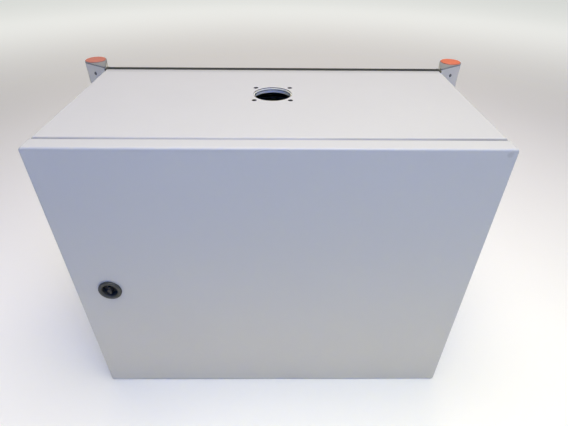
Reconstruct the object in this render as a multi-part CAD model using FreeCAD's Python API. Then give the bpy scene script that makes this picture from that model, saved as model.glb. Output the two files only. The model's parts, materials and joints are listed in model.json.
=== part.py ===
"""Wall or stand mounted sheet-steel breaker panel box with a hinged door, carried on a rear post frame.

Millimetres. +X is to the right seen from the front, +Y points at the wall, +Z is up.
The origin is the centre of the four wall bolts, on the wall plane behind the carrier frame.
Every physical piece is its own solid, and parts/NODE.step holds one node.
"""

import FreeCAD
import Part
import math
import os

V = FreeCAD.Vector
X_AXIS = V(1, 0, 0)
Y_AXIS = V(0, 1, 0)
Z_AXIS = V(0, 0, 1)

# ---------------------------------------------------------------- enclosure sizes
WIDTH = 500.0
HEIGHT = 400.0
BODY_DEPTH = 229.0
SHEET = 1.5
DOOR_DEPTH = 20.0
DOOR_GAP = 3.0
FRAME_DEPTH = 53.0
CORNER = 4.0
BODY_BEND = 3.0
DOOR_BEND = 2.4
BODY_INSET = 1.0

HALF_W = WIDTH / 2
BODY_HALF_W = HALF_W - BODY_INSET
HALF_H = HEIGHT / 2
Y_REAR = -FRAME_DEPTH
Y_BODY = Y_REAR - BODY_DEPTH
Y_DOOR_BACK = Y_BODY - DOOR_GAP
Y_DOOR = Y_DOOR_BACK - DOOR_DEPTH

# Rain lip round the door opening, measured inwards from the outside of the body.
LIP_INSET = 24.5
HINGE_LIP_INSET = 36.0
LIP_HEIGHT = 14.0
LIP_LEFT = -HALF_W + LIP_INSET
LIP_RIGHT = HALF_W - HINGE_LIP_INSET
LIP_TOP = HALF_H - LIP_INSET
GASKET_WIDTH = 9.0
GASKET_CLEAR = 0.05

# Cable entry in the roof: a round opening with four flange screws around it.
ENTRY_Y = Y_DOOR + 153.0
ENTRY_R = 24.4
ENTRY_PITCH = 45.0
ENTRY_SCREW_R = 3.2
RING_OUTER_R = 40.0
RING_INNER_R = 23.6
RING_THICK = 5.0
RING_THREAD_R = 2.5

# Gland plate opening in the floor.
GLAND_Y = Y_REAR - 105.0
GLAND_OPEN = (260.0, 90.0)
GLAND_PLATE = (300.0, 130.0)
GLAND_SCREW_PITCH = (136.0, 55.0)
GLAND_GASKET = 3.0
GLAND_THICK = 2.0

# ---------------------------------------------------------------- door hardware
HINGE_X = HALF_W - 7.0
HINGE_Y = Y_DOOR + 5.6
HINGE_Z = (-130.0, 130.0)
PIN_R = 2.0
PIN_RUNNING = 0.05
PIN_SEAT = 0.02
BARREL_R = 3.8
ARM_HALF = 12.0
KNUCKLE_GAP = 0.4
KNUCKLE_TALL = 12.0

LOCK_X = -205.5
LOCK_HEAD_R = 14.5
LOCK_HEAD_TALL = 3.2
LOCK_BODY_R = 11.0
LOCK_CUP_R = 9.6
LOCK_SHAFT_R = 5.0
CAM_LONG = 32.0
CAM_THICK = 3.0

# ---------------------------------------------------------------- rear carrier frame
POST_TOP = HALF_H + 4.0
POST_BOTTOM = -HALF_H
POST_NOSE_R = 15.8
POST_OUT = 25.5
POST_WALL = 2.5
POST_APEX = (HALF_W - 1.2, Y_REAR + 0.6)
POST_FLAT_X = HALF_W + 0.4
POST_SCREW_ALONG = 27.0
POST_SCREW_Z = HALF_H - 11.0
POST_SCREW_R = 1.5
POST_HEAD_R = 2.5
TONGUE_THICK = 3.0
TONGUE_ROOT = 4.0
TONGUE_END = 2.9
TONGUE_SLOT_X = HALF_W + 9.0
TONGUE_HALF = 7.0
SOCKET_R = 12.5
PLUG_FLANGE_R = 14.8
PLUG_FLANGE = 1.2
END_PLATE = 2.0
RAIL_DEPTH = 12.0
RAIL_TALL = 28.0
RAIL_SHEET = 3.0
RAIL_END = HALF_W - 4.0
WALL_PITCH_X = 360.0
WALL_PITCH_Z = 300.0
WALL_HOLE_R = 4.25
BRACKET_W = 30.0
BRACKET_THICK = 4.0
FRAME_BOLT_X = 205.0

# ---------------------------------------------------------------- inside
PLATE_W = 410.0
PLATE_H = 330.0
PLATE_THICK = 2.5
PLATE_STANDOFF = 12.0
Y_PLATE = Y_REAR - SHEET - PLATE_STANDOFF - PLATE_THICK
PLATE_STUD = (190.0, 150.0)
STUD_R = 4.0
SMALL_SCREW_R = 2.5

# Top-hat rails, one row of devices above and one row of terminals below.
DIN_DEEP = 7.5
DIN_LONG = 330.0
Y_DIN = Y_PLATE - DIN_DEEP
ROW_UPPER = 72.5
ROW_LOWER = -72.5

# Slotted wiring ducts.
DUCT_W = 30.0
DUCT_DEEP = 58.0
DUCT_WALL = 1.6
LID_THICK = 2.0
SLOT_PITCH = 12.5
SLOT_W = 4.4

# Modular devices: 17.5 mm modules, 45 mm raised front, 12 modules in the row.
MODULE = 17.5
MODULE_GAP = 0.2
ROW_MODULES = 12
DEVICE_HALF = 45.0
DEVICE_NOSE = 22.5
DEVICE_SHOULDER = 44.0
DEVICE_FRONT = 62.0
SWITCH_POLES = 3
RCD_MODULE = 3
RCD_POLES = 4
BREAKER_MODULE = 7
BREAKERS = 5
SWITCH_LEVER_W = 30.0
RCD_LEVER_W = 22.0
BREAKER_LEVER_W = 8.0
HUB_Y = Y_DIN - DEVICE_FRONT + 3.0
TOGGLE_HUB_R = 6.0
TOGGLE_ANGLE = 38.0
TOGGLE_REACH = 15.5
TRUNNION_R = 1.5
TRUNNION_TALL = 2.0
BUTTON_R = 3.0
BUTTON_PROUD = 1.8
BUTTON_TALL = 4.0
COVER_POST = (158.0, 50.0)

# Terminals, bars and wires; every wire hole lies on one depth line.
TERMINAL_Y = Y_DIN - 22.0
TERMINAL_R = 2.4
TERMINALS = 16
TERMINAL_W = 6.25
TERMINAL_X = -137.5
END_STOP_W = 9.0
BAR_X = 5.0
BAR_SIDE = 9.0
BAR_WAYS = 9
BAR_Z = (-40.0, -105.0)
WIRE_R = 1.7
WIRE_STEP = 9.5

# Door earth strap: stud shoulders on the floor of the body and on the inside of the door.
BODY_STUD = (186.0, Y_BODY + 22.0, -HALF_H + 6.0)
DOOR_STUD = (186.0, Y_DOOR + 6.0, -150.0)
LUG_THICK = 1.2
STRAP_R = 2.2


# ---------------------------------------------------------------- shape helpers
def box(x0, x1, y0, y1, z0, z1):
    """Box between two corners."""
    return Part.makeBox(x1 - x0, y1 - y0, z1 - z0, V(x0, y0, z0))


def rod(radius, start, end):
    """Cylinder of a radius from one point to another."""
    along = end - start
    return Part.makeCylinder(radius, along.Length, start, along)


def rod_x(radius, x0, x1, y, z):
    return rod(radius, V(x0, y, z), V(x1, y, z))


def rod_y(radius, x, y0, y1, z):
    return rod(radius, V(x, y0, z), V(x, y1, z))


def rod_z(radius, x, y, z0, z1):
    return rod(radius, V(x, y, z0), V(x, y, z1))


def prism(points, direction):
    """Solid swept from a closed outline of straight edges."""
    wire = Part.makePolygon(points + [points[0]])
    return Part.Face(wire).extrude(direction)


def hexagon(flats, x, y0, y1, z):
    """Hexagonal bar along Y, with the distance across its flats."""
    reach = flats / math.sqrt(3)
    corners = []
    for step in range(6):
        turn = math.radians(60 * step)
        corners.append(V(x + reach * math.cos(turn), y0, z + reach * math.sin(turn)))
    return prism(corners, V(0, y1 - y0, 0))


def round_edges(shape, radius, wanted):
    """Fillets the edges whose centre and direction the test picks."""
    edges = []
    for edge in shape.Edges:
        ends = edge.Vertexes
        if len(ends) == 2 and wanted(edge.CenterOfMass, (ends[1].Point - ends[0].Point).normalize()):
            edges.append(edge)
    return shape.makeFillet(radius, edges)


def rounded_box(x0, x1, y0, y1, z0, z1, radius, axis):
    """Box whose four edges along one axis are rounded."""
    return round_edges(box(x0, x1, y0, y1, z0, z1), radius, lambda c, d: abs(d.dot(axis)) > 0.99)


def folded_block(half_w, y0, y1, half_h, corner, bend):
    """Block with rounded corners along the depth and a softer edge all round its front."""
    block = rounded_box(-half_w, half_w, y0, y1, -half_h, half_h, corner, Y_AXIS)
    return round_edges(block, bend, lambda c, d: c.y < y0 + 0.01)


def mirrored(shape):
    """The same shape on the other side of the centre plane."""
    return shape.mirror(V(0, 0, 0), X_AXIS)


def export(name, shapes):
    """Writes a node made of one or more separate solids."""
    solids = []
    for shape in shapes if isinstance(shapes, list) else [shapes]:
        solids.extend(shape.Solids)
    shape = solids[0] if len(solids) == 1 else Part.makeCompound(solids)
    assert shape.isValid(), name
    shape.exportStep("parts/" + name + ".step")


# ---------------------------------------------------------------- enclosure body
def lip_frame(out, y0, y1):
    """Solid block over the door opening, grown outwards from the inner face of the lip."""
    left = LIP_LEFT + SHEET - out
    right = LIP_RIGHT - SHEET + out
    top = LIP_TOP - SHEET + out
    return rounded_box(left, right, y0, y1, -top, top, 6.0 + out, Y_AXIS)


def entry_screw_places():
    half = ENTRY_PITCH / 2
    return [(sx * half, ENTRY_Y + sy * half) for sx in (-1, 1) for sy in (-1, 1)]


def gland_screw_places():
    half_x, half_y = GLAND_SCREW_PITCH
    return [(sx * half_x, GLAND_Y + sy * half_y) for sx in (-1, 0, 1) for sy in (-1, 1)]


def hinge_screw_places():
    return [z + dz for z in HINGE_Z for dz in (-10.0, 10.0)]


def body_shell():
    """Folded wrap of roof, floor and sides, with the front flange and the raised rain lip."""
    shell = folded_block(BODY_HALF_W, Y_BODY, Y_REAR, HALF_H, CORNER, BODY_BEND)
    hollow = folded_block(
        BODY_HALF_W - SHEET, Y_BODY + SHEET, Y_REAR + 1, HALF_H - SHEET, CORNER - SHEET, BODY_BEND - SHEET)
    shell = shell.cut(hollow)
    shell = shell.fuse(lip_frame(SHEET, Y_BODY - LIP_HEIGHT, Y_BODY + SHEET))
    shell = shell.cut(lip_frame(0, Y_BODY - LIP_HEIGHT - 1, Y_BODY + SHEET + 1))
    cuts = [rod_z(ENTRY_R, 0, ENTRY_Y, HALF_H - 5, HALF_H + 5)]
    for x, y in entry_screw_places():
        cuts.append(rod_z(ENTRY_SCREW_R, x, y, HALF_H - 5, HALF_H + 5))
    half_x, half_y = (side / 2 for side in GLAND_OPEN)
    cuts.append(rounded_box(
        -half_x, half_x, GLAND_Y - half_y, GLAND_Y + half_y, -HALF_H - 5, -HALF_H + 5, 5.0, Z_AXIS))
    for x, y in gland_screw_places():
        cuts.append(rod_z(2.6, x, y, -HALF_H - 5, -HALF_H + 5))
    for z in hinge_screw_places():
        cuts.append(rod_y(2.2, LIP_RIGHT + 4.5, Y_BODY - 1, Y_BODY + SHEET + 1, z))
    return shell.cut(cuts).removeSplitter()


def frame_bolt_places():
    z = HALF_H - RAIL_TALL / 2
    return [(sx * FRAME_BOLT_X, sz * z) for sx in (-1, 1) for sz in (-1, 1)]


def rear_wall():
    """Back sheet welded into the rear of the wrap, with the four fixing holes."""
    wall = rounded_box(
        -BODY_HALF_W + SHEET, BODY_HALF_W - SHEET, Y_REAR - SHEET, Y_REAR, -HALF_H + SHEET, HALF_H - SHEET,
        CORNER - SHEET, Y_AXIS)
    for x, z in frame_bolt_places():
        wall = wall.cut(rod_y(4.5, x, Y_REAR - 5, Y_REAR + 5, z))
    return wall


def roof_backing_ring():
    """Thick ring under the roof opening, tapped for the four flange screws."""
    top = HALF_H - SHEET
    ring = rod_z(RING_OUTER_R, 0, ENTRY_Y, top - RING_THICK, top)
    ring = ring.cut(rod_z(RING_INNER_R, 0, ENTRY_Y, top - RING_THICK - 1, top + 1))
    for x, y in entry_screw_places():
        ring = ring.cut(rod_z(RING_THREAD_R, x, y, top - RING_THICK - 1, top + 1))
    return ring


def gland_block(size, z0, z1):
    half_x, half_y = (side / 2 for side in size)
    block = rounded_box(-half_x, half_x, GLAND_Y - half_y, GLAND_Y + half_y, z0, z1, 6.0, Z_AXIS)
    for x, y in gland_screw_places():
        block = block.cut(rod_z(2.6, x, y, z0 - 1, z1 + 1))
    return block


def gland_gasket():
    floor = -HALF_H + SHEET
    half_x, half_y = (side / 2 for side in GLAND_OPEN)
    window = box(-half_x, half_x, GLAND_Y - half_y, GLAND_Y + half_y, floor - 1, floor + 5)
    return gland_block(GLAND_PLATE, floor, floor + GLAND_GASKET).cut(window)


def gland_plate():
    z0 = -HALF_H + SHEET + GLAND_GASKET
    return gland_block(GLAND_PLATE, z0, z0 + GLAND_THICK)


def gland_screws():
    """Six pan-head screws that pull the gland plate onto its gasket."""
    seat = -HALF_H + SHEET + GLAND_GASKET + GLAND_THICK
    screws = []
    for x, y in gland_screw_places():
        head = Part.makeCone(4.6, 3.4, 3.0, V(x, y, seat), Z_AXIS)
        screws.append(head.fuse(rod_z(2.5, x, y, -HALF_H, seat)).removeSplitter())
    return screws


def frame_bolts():
    """Hex bolts with sealing washers that hold the box on the cross rails."""
    bolts = []
    inner = Y_REAR - SHEET
    for x, z in frame_bolt_places():
        washer = rod_y(9.0, x, inner - 1.8, inner, z)
        head = hexagon(13.0, x, inner - 7.3, inner - 1.8, z)
        shank = rod_y(3.98, x, inner, Y_REAR + RAIL_SHEET + 4, z)
        bolts.append(head.fuse([washer, shank]).removeSplitter())
    return bolts


# ---------------------------------------------------------------- door
def door_pan():
    """Door folded from one sheet: a flat face with four returned edges, and the hole for the lock."""
    pan = folded_block(HALF_W, Y_DOOR, Y_DOOR_BACK, HALF_H, CORNER, DOOR_BEND)
    inner = folded_block(
        HALF_W - SHEET, Y_DOOR + SHEET, Y_DOOR_BACK + 5, HALF_H - SHEET, CORNER - SHEET, DOOR_BEND - SHEET)
    pan = pan.cut(inner)
    return pan.cut(rod_y(LOCK_BODY_R + 0.3, LOCK_X, Y_DOOR - 5, Y_DOOR + 5, 0))


def door_gasket():
    """Foam seal on the inside of the door; the rain lip closes onto its middle."""
    spread = (GASKET_WIDTH - SHEET) / 2
    y0 = Y_DOOR + SHEET
    y1 = Y_BODY - LIP_HEIGHT - GASKET_CLEAR
    seal = lip_frame(SHEET + spread, y0, y1).cut(lip_frame(-spread, y0 - 1, y1 + 1))
    return round_edges(seal, 2.0, lambda c, d: c.y > y1 - 0.01)


def door_stiffeners():
    """Two perforated channels spot welded to the inside of the door."""
    channels = []
    y0 = Y_DOOR + SHEET
    for x in (-165.0, 165.0):
        outer = box(x - 12, x + 12, y0, y0 + 12, -150, 150)
        channel = outer.cut(box(x - 10.5, x + 10.5, y0 - 1, y0 + 10.5, -151, 151))
        for step in range(12):
            channel = channel.cut(rod_y(4.0, x, y0 + 5, y0 + 15, -137.5 + 25 * step))
        channels.append(channel)
    return channels


def hinge_arms():
    """Body side of each hinge: a goose-neck arm that reaches round the returned edge of the open door."""
    arms = []
    leg_x = LIP_RIGHT + 5.5
    for z in HINGE_Z:
        barrel = rod_z(BARREL_R, HINGE_X, HINGE_Y, z - ARM_HALF, z + ARM_HALF)
        neck = box(leg_x, HINGE_X, HINGE_Y - 3.4, HINGE_Y - 0.2, z - ARM_HALF, z + ARM_HALF)
        leg = box(leg_x, leg_x + 3, HINGE_Y - 3.4, Y_BODY, z - ARM_HALF, z + ARM_HALF)
        foot = box(LIP_RIGHT + 0.2, leg_x + 3, Y_BODY - 11, Y_BODY, z - 16, z + 16)
        arm = barrel.fuse([neck, leg, foot])
        arm = arm.cut(rod_z(PIN_R + PIN_RUNNING, HINGE_X, HINGE_Y, z - 30, z + 30))
        for dz in (-10.0, 10.0):
            arm = arm.cut(rod_y(2.05, LIP_RIGHT + 4.5, Y_BODY - 8, Y_BODY + 1, z + dz))
        arms.append(arm.removeSplitter())
    return arms


def hinge_screws():
    """Screws from inside the body into each hinge arm."""
    screws = []
    seat = Y_BODY + SHEET
    x = LIP_RIGHT + 4.5
    for z in hinge_screw_places():
        head = Part.makeCone(3.8, 2.8, 2.6, V(x, seat, z), Y_AXIS)
        screws.append(head.fuse(rod_y(2.0, x, seat - SHEET - 7, seat, z)).removeSplitter())
    return screws


def hinge_knuckles():
    """Door side of each hinge: a pair of knuckles welded into the corner of the returned edge."""
    knuckles = []
    for z in HINGE_Z:
        for side in (-1, 1):
            near = z + side * (ARM_HALF + KNUCKLE_GAP)
            far = near + side * KNUCKLE_TALL
            z0, z1 = min(near, far), max(near, far)
            barrel = rod_z(BARREL_R, HINGE_X, HINGE_Y, z0, z1)
            web = box(HINGE_X, HALF_W - SHEET, Y_DOOR + SHEET, HINGE_Y + BARREL_R, z0, z1)
            web = web.cut(box(HALF_W - SHEET - 1, HALF_W, Y_DOOR, Y_DOOR + SHEET + 1, z0 - 1, z1 + 1))
            knuckle = barrel.fuse(web).cut(rod_z(PIN_R + PIN_SEAT, HINGE_X, HINGE_Y, z0 - 1, z1 + 1))
            knuckles.append(knuckle.removeSplitter())
    return knuckles


def hinge_pins():
    """Headed pins that drop through the knuckles and the arm."""
    pins = []
    reach = ARM_HALF + KNUCKLE_GAP + KNUCKLE_TALL
    for z in HINGE_Z:
        pin = rod_z(PIN_R, HINGE_X, HINGE_Y, z - reach - 1.5, z + reach)
        head = rod_z(3.8, HINGE_X, HINGE_Y, z + reach, z + reach + 2)
        pins.append(pin.fuse(head).removeSplitter())
    return pins


# ---------------------------------------------------------------- quarter-turn lock
def lock_housing():
    """Round head in front of the door and a barrel through it, with a key recess and a shaft bore."""
    y0 = Y_DOOR - LOCK_HEAD_TALL
    y1 = Y_DOOR
    head = rod_y(LOCK_HEAD_R, LOCK_X, y0, y1, 0)
    rim = [edge for edge in head.Edges if abs(edge.CenterOfMass.y - y0) < 0.01]
    head = head.makeFillet(1.6, rim)
    housing = head.fuse(rod_y(LOCK_BODY_R, LOCK_X, y1, Y_DOOR + 19, 0))
    housing = housing.cut(rod_y(LOCK_CUP_R, LOCK_X, y0 - 1, Y_DOOR + 8, 0))
    housing = housing.cut(Part.makeCone(LOCK_CUP_R + 1.4, LOCK_CUP_R, 1.4, V(LOCK_X, y0, 0), Y_AXIS))
    return housing.cut(rod_y(LOCK_SHAFT_R + 0.06, LOCK_X, Y_DOOR, Y_DOOR + 30, 0)).removeSplitter()


def lock_nut():
    """Round nut with four spanner slots, on the inside of the door."""
    y0 = Y_DOOR + SHEET
    nut = rod_y(13.2, LOCK_X, y0, y0 + 5, 0)
    nut = nut.cut(rod_y(LOCK_BODY_R + 0.05, LOCK_X, y0 - 1, y0 + 6, 0))
    nut = nut.cut(box(LOCK_X - 1.5, LOCK_X + 1.5, y0 + 2.5, y0 + 6, -15, 15))
    return nut.cut(box(LOCK_X - 15, LOCK_X + 15, y0 + 2.5, y0 + 6, -1.5, 1.5))


def lock_insert():
    """Double-bit driver: a centre pin with two wings on a disc, and the shaft that carries the cam."""
    floor = Y_DOOR + 8
    cam_y = Y_BODY + SHEET + 1
    disc = rod_y(LOCK_CUP_R - 0.3, LOCK_X, floor - 2.4, floor - 0.1, 0)
    pin = rod_y(2.6, LOCK_X, floor - 11, floor - 2, 0)
    wings = box(LOCK_X - 1.5, LOCK_X + 1.5, floor - 9.5, floor - 2, -5.6, 5.6)
    shaft = rod_y(LOCK_SHAFT_R, LOCK_X, floor - 1, cam_y, 0)
    square = box(LOCK_X - 3.5, LOCK_X + 3.5, cam_y - 1, cam_y + CAM_THICK, -3.5, 3.5)
    insert = disc.fuse([pin, wings, shaft, square])
    return insert.cut(rod_y(2.05, LOCK_X, cam_y - 6, cam_y + 10, 0)).removeSplitter()


def lock_cam():
    """Steel tongue. It points up when unlocked and turns behind the front flange to lock."""
    y0 = Y_BODY + SHEET + 1
    cam = rod_y(9.0, LOCK_X, y0, y0 + CAM_THICK, 0)
    cam = cam.fuse(box(LOCK_X - 7.5, LOCK_X + 7.5, y0, y0 + CAM_THICK, 0, CAM_LONG))
    square = box(LOCK_X - 3.55, LOCK_X + 3.55, y0 - 1, y0 + 5, -3.55, 3.55)
    cam = round_edges(
        cam.removeSplitter(), 4.0, lambda c, d: abs(d.y) > 0.99 and c.z > CAM_LONG - 0.1)
    return cam.cut(square)


def lock_cam_screw():
    y0 = Y_BODY + SHEET + 1 + CAM_THICK
    washer = rod_y(6.5, LOCK_X, y0, y0 + 1.2, 0)
    head = hexagon(8.0, LOCK_X, y0 + 1.2, y0 + 4.4, 0)
    return washer.fuse([head, rod_y(2.0, LOCK_X, y0 - 7, y0 + 1, 0)]).removeSplitter()


# ---------------------------------------------------------------- rear carrier frame
def tangent_point(px, py, ox, oy, radius, side):
    """Where a line from (px, py) touches a circle round (ox, oy), on the chosen side."""
    reach = math.hypot(ox - px, oy - py)
    turn = math.atan2(oy - py, ox - px) + side * math.asin(radius / reach)
    run = math.sqrt(reach * reach - radius * radius)
    return px + run * math.cos(turn), py + run * math.sin(turn)


def post_outline(grow, z):
    """Face of the teardrop post section on the right: two webs that run from an apex to the round nose."""
    ox, oy = socket_centre()
    x, y = POST_APEX
    reach = math.hypot(ox - x, oy - y)
    half_angle = math.asin(POST_NOSE_R / reach)
    shift = -grow / math.sin(half_angle)
    x += shift * (ox - x) / reach
    y += shift * (oy - POST_APEX[1]) / reach
    radius = POST_NOSE_R + grow
    touch_front = tangent_point(x, y, ox, oy, radius, -1)
    touch_back = tangent_point(x, y, ox, oy, radius, 1)
    far = (ox + radius * (ox - POST_APEX[0]) / reach, oy + radius * (oy - POST_APEX[1]) / reach)
    nose = Part.Arc(V(*touch_front, z), V(*far, z), V(*touch_back, z)).toShape()
    front_web = Part.makeLine(V(x, y, z), V(*touch_front, z))
    back_web = Part.makeLine(V(*touch_back, z), V(x, y, z))
    return Part.Face(Part.Wire([front_web, nose, back_web]))


def blunted(shape):
    """Cuts the sharp apex of a post shape back to a narrow flat beside the box."""
    return shape.cut(box(POST_APEX[0] - 20, POST_FLAT_X, Y_REAR - 20, 20, POST_BOTTOM - 5, POST_TOP + 5))


def socket_centre():
    return HALF_W + POST_OUT, Y_REAR + FRAME_DEPTH - POST_NOSE_R


def post_right():
    """Extruded post with a round socket in its nose and a hollow web that reaches the corner of the box."""
    z0 = POST_BOTTOM + END_PLATE
    z1 = POST_TOP - PLUG_FLANGE - END_PLATE
    ox, oy = socket_centre()
    post = blunted(post_outline(0, z0).extrude(V(0, 0, z1 - z0)))
    chamber = post_outline(-POST_WALL, z0 - 1).extrude(V(0, 0, z1 - z0 + 2))
    chamber = chamber.cut(rod_z(SOCKET_R + POST_WALL, ox, oy, z0 - 2, z1 + 2))
    post = post.cut([chamber, rod_z(SOCKET_R, ox, oy, z0 - 1, z1 + 1)])
    for sign in (-1, 1):
        zc = sign * POST_SCREW_Z
        post = post.cut(tongue(zc, 0.2).common(box(0, TONGUE_SLOT_X, Y_REAR, 0, -HALF_H, HALF_H)))
        post = post.cut(post_screw(zc, POST_SCREW_R + 0.2, 1, -4))
    return post.removeSplitter()


def web_line():
    """Start, direction and outward normal of the slanted front web of the right post, in plan."""
    ox, oy = socket_centre()
    x, y = POST_APEX
    tx, ty = tangent_point(x, y, ox, oy, POST_NOSE_R, -1)
    along = V(tx - x, ty - y, 0).normalize()
    return V(x, y, 0), along, V(along.y, -along.x, 0)


def tongue(z, spare):
    """Steel strip from the end of a cross rail along the inside of the right post's front web."""
    start, along, normal = web_line()
    inner = start - normal * (POST_WALL + 0.15 - spare)
    depth = TONGUE_THICK + 2 * spare
    root = inner - along * TONGUE_ROOT
    tip = inner + along * (POST_SCREW_ALONG + TONGUE_END)
    points = [root, tip, tip - normal * depth, root - normal * depth]
    half = TONGUE_HALF + spare
    return prism(points, V(0, 0, 2 * half)).translated(V(0, 0, z - half))


def post_screw(z, radius, above, below):
    """Cylinder across the front web of the right post, where a screw pins it to the tongue."""
    start, along, normal = web_line()
    centre = start + along * POST_SCREW_ALONG + V(0, 0, z)
    return rod(radius, centre + normal * above, centre + normal * below)


def post_screws():
    """Small button-head screws in the slanted web of each post."""
    start, along, normal = web_line()
    screws = []
    for sign in (-1, 1):
        z = sign * POST_SCREW_Z
        centre = start + along * POST_SCREW_ALONG + V(0, 0, z)
        head = Part.makeCone(POST_HEAD_R, POST_HEAD_R - 0.8, 1.2, centre, normal)
        shank = post_screw(z, POST_SCREW_R - 0.02, 0, -POST_WALL - TONGUE_THICK)
        screw = head.fuse(shank).removeSplitter()
        screws += [screw, mirrored(screw)]
    return screws


def post_end_plates():
    """Flat plates that close the top and bottom of each post around the socket."""
    ox, oy = socket_centre()
    plates = []
    for z in (POST_BOTTOM, POST_TOP - PLUG_FLANGE - END_PLATE):
        plate = blunted(post_outline(0, z).extrude(V(0, 0, END_PLATE)))
        plate = plate.cut(rod_z(SOCKET_R, ox, oy, z - 1, z + END_PLATE + 1))
        plates += [plate, mirrored(plate)]
    return plates


def post_plugs():
    """Coloured push-in plugs that close the top of each socket."""
    ox, oy = socket_centre()
    z = POST_TOP - PLUG_FLANGE
    flange = rod_z(PLUG_FLANGE_R, ox, oy, z, POST_TOP)
    rim = [edge for edge in flange.Edges if abs(edge.CenterOfMass.z - POST_TOP) < 0.01]
    flange = flange.makeFillet(0.8, rim)
    stem = rod_z(SOCKET_R - 0.1, ox, oy, z - 16, z).cut(rod_z(SOCKET_R - 2, ox, oy, z - 17, z - 2))
    plug = flange.fuse(stem).removeSplitter()
    return [plug, mirrored(plug)]


def cross_rail(sign):
    """Steel channel behind the box, open to the rear, with a tenon at each end."""
    zc = sign * (HALF_H - RAIL_TALL / 2)
    half = RAIL_TALL / 2
    y1 = Y_REAR + RAIL_DEPTH
    rail = rounded_box(-RAIL_END, RAIL_END, Y_REAR, y1, zc - half, zc + half, 1.0, X_AXIS)
    channel = box(
        -HALF_W, HALF_W, Y_REAR + RAIL_SHEET, y1 + 1, zc - half + RAIL_SHEET, zc + half - RAIL_SHEET)
    rail = rail.cut(channel)
    screw_z = sign * POST_SCREW_Z
    arm = tongue(screw_z, 0).cut(post_screw(screw_z, POST_SCREW_R, 1, -POST_WALL - TONGUE_THICK - 1))
    rail = rail.fuse([arm, mirrored(arm)])
    for x, z in frame_bolt_places():
        rail = rail.cut(rod_y(4.0, x, Y_REAR - 1, Y_REAR + 5, z))
    return rail.removeSplitter()


def rail_end_caps():
    """Black shoes between each rail end and its post: a plate, and a spigot inside the channel."""
    caps = []
    half = RAIL_TALL / 2
    inside = half - RAIL_SHEET - 0.1
    y1 = Y_REAR + RAIL_DEPTH
    for sign in (-1, 1):
        zc = sign * (HALF_H - half)
        plate = box(RAIL_END + 0.05, POST_FLAT_X - 0.05, Y_REAR, y1, zc - half, zc + half)
        spigot = box(RAIL_END - 9, RAIL_END + 0.05, Y_REAR + RAIL_SHEET + 0.1, y1, zc - inside, zc + inside)
        cap = plate.fuse(spigot).cut(tongue(sign * POST_SCREW_Z, 0.2)).removeSplitter()
        caps += [cap, mirrored(cap)]
    return caps


def wall_brackets():
    """Z-shaped feet welded inside the cross rails, each reaching back to one wall bolt."""
    brackets = []
    seat = Y_REAR + RAIL_SHEET
    low = HALF_H - RAIL_TALL + RAIL_SHEET
    high = HALF_H - RAIL_SHEET
    hole_z = WALL_PITCH_Z / 2
    for sx in (-1, 1):
        x0 = sx * WALL_PITCH_X / 2 - BRACKET_W / 2
        x1 = x0 + BRACKET_W
        for sz in (-1, 1):
            pad = box(x0, x1, seat, seat + BRACKET_THICK, low, high)
            shelf = box(x0, x1, seat, 0, low, low + BRACKET_THICK)
            foot = box(x0, x1, -BRACKET_THICK, 0, hole_z - BRACKET_W / 2, low + BRACKET_THICK)
            bracket = pad.fuse([shelf, foot]).cut(rod_y(WALL_HOLE_R, x0 + BRACKET_W / 2, -10, 1, hole_z))
            if sz < 0:
                bracket = bracket.mirror(V(0, 0, 0), Z_AXIS)
            brackets.append(bracket.removeSplitter())
    return brackets


# ---------------------------------------------------------------- mounting plate and rails
def plate_stud_places():
    return [(sx * PLATE_STUD[0], sz * PLATE_STUD[1]) for sx in (-1, 1) for sz in (-1, 1)]


def plate_studs():
    """Hexagonal spacers on the rear wall, each with a threaded end through the plate."""
    studs = []
    root = Y_REAR - SHEET
    for x, z in plate_stud_places():
        spacer = hexagon(13.0, x, Y_PLATE + PLATE_THICK, root, z)
        studs.append(spacer.fuse(rod_y(STUD_R, x, Y_PLATE - 11, root, z)).removeSplitter())
    return studs


def mounting_plate():
    half_w, half_h = PLATE_W / 2, PLATE_H / 2
    plate = rounded_box(-half_w, half_w, Y_PLATE, Y_PLATE + PLATE_THICK, -half_h, half_h, 6.0, Y_AXIS)
    for x, z in plate_stud_places():
        plate = plate.cut(rod_y(STUD_R + 0.4, x, Y_PLATE - 1, Y_PLATE + 5, z))
    for x, z in rail_screw_places() + cover_post_places():
        plate = plate.cut(rod_y(SMALL_SCREW_R, x, Y_PLATE - 1, Y_PLATE + 5, z))
    return plate


def plate_nuts():
    """Flange nuts that hold the mounting plate."""
    nuts = []
    for x, z in plate_stud_places():
        nut = hexagon(12.0, x, Y_PLATE - 7, Y_PLATE, z).fuse(rod_y(8.5, x, Y_PLATE - 1.6, Y_PLATE, z))
        nuts.append(nut.cut(rod_y(STUD_R + 0.02, x, Y_PLATE - 8, Y_PLATE + 1, z)).removeSplitter())
    return nuts


def rail_screw_places():
    return [(x, z) for x in (-0.42 * DIN_LONG, 0.0, 0.42 * DIN_LONG) for z in (ROW_UPPER, ROW_LOWER)]


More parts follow.
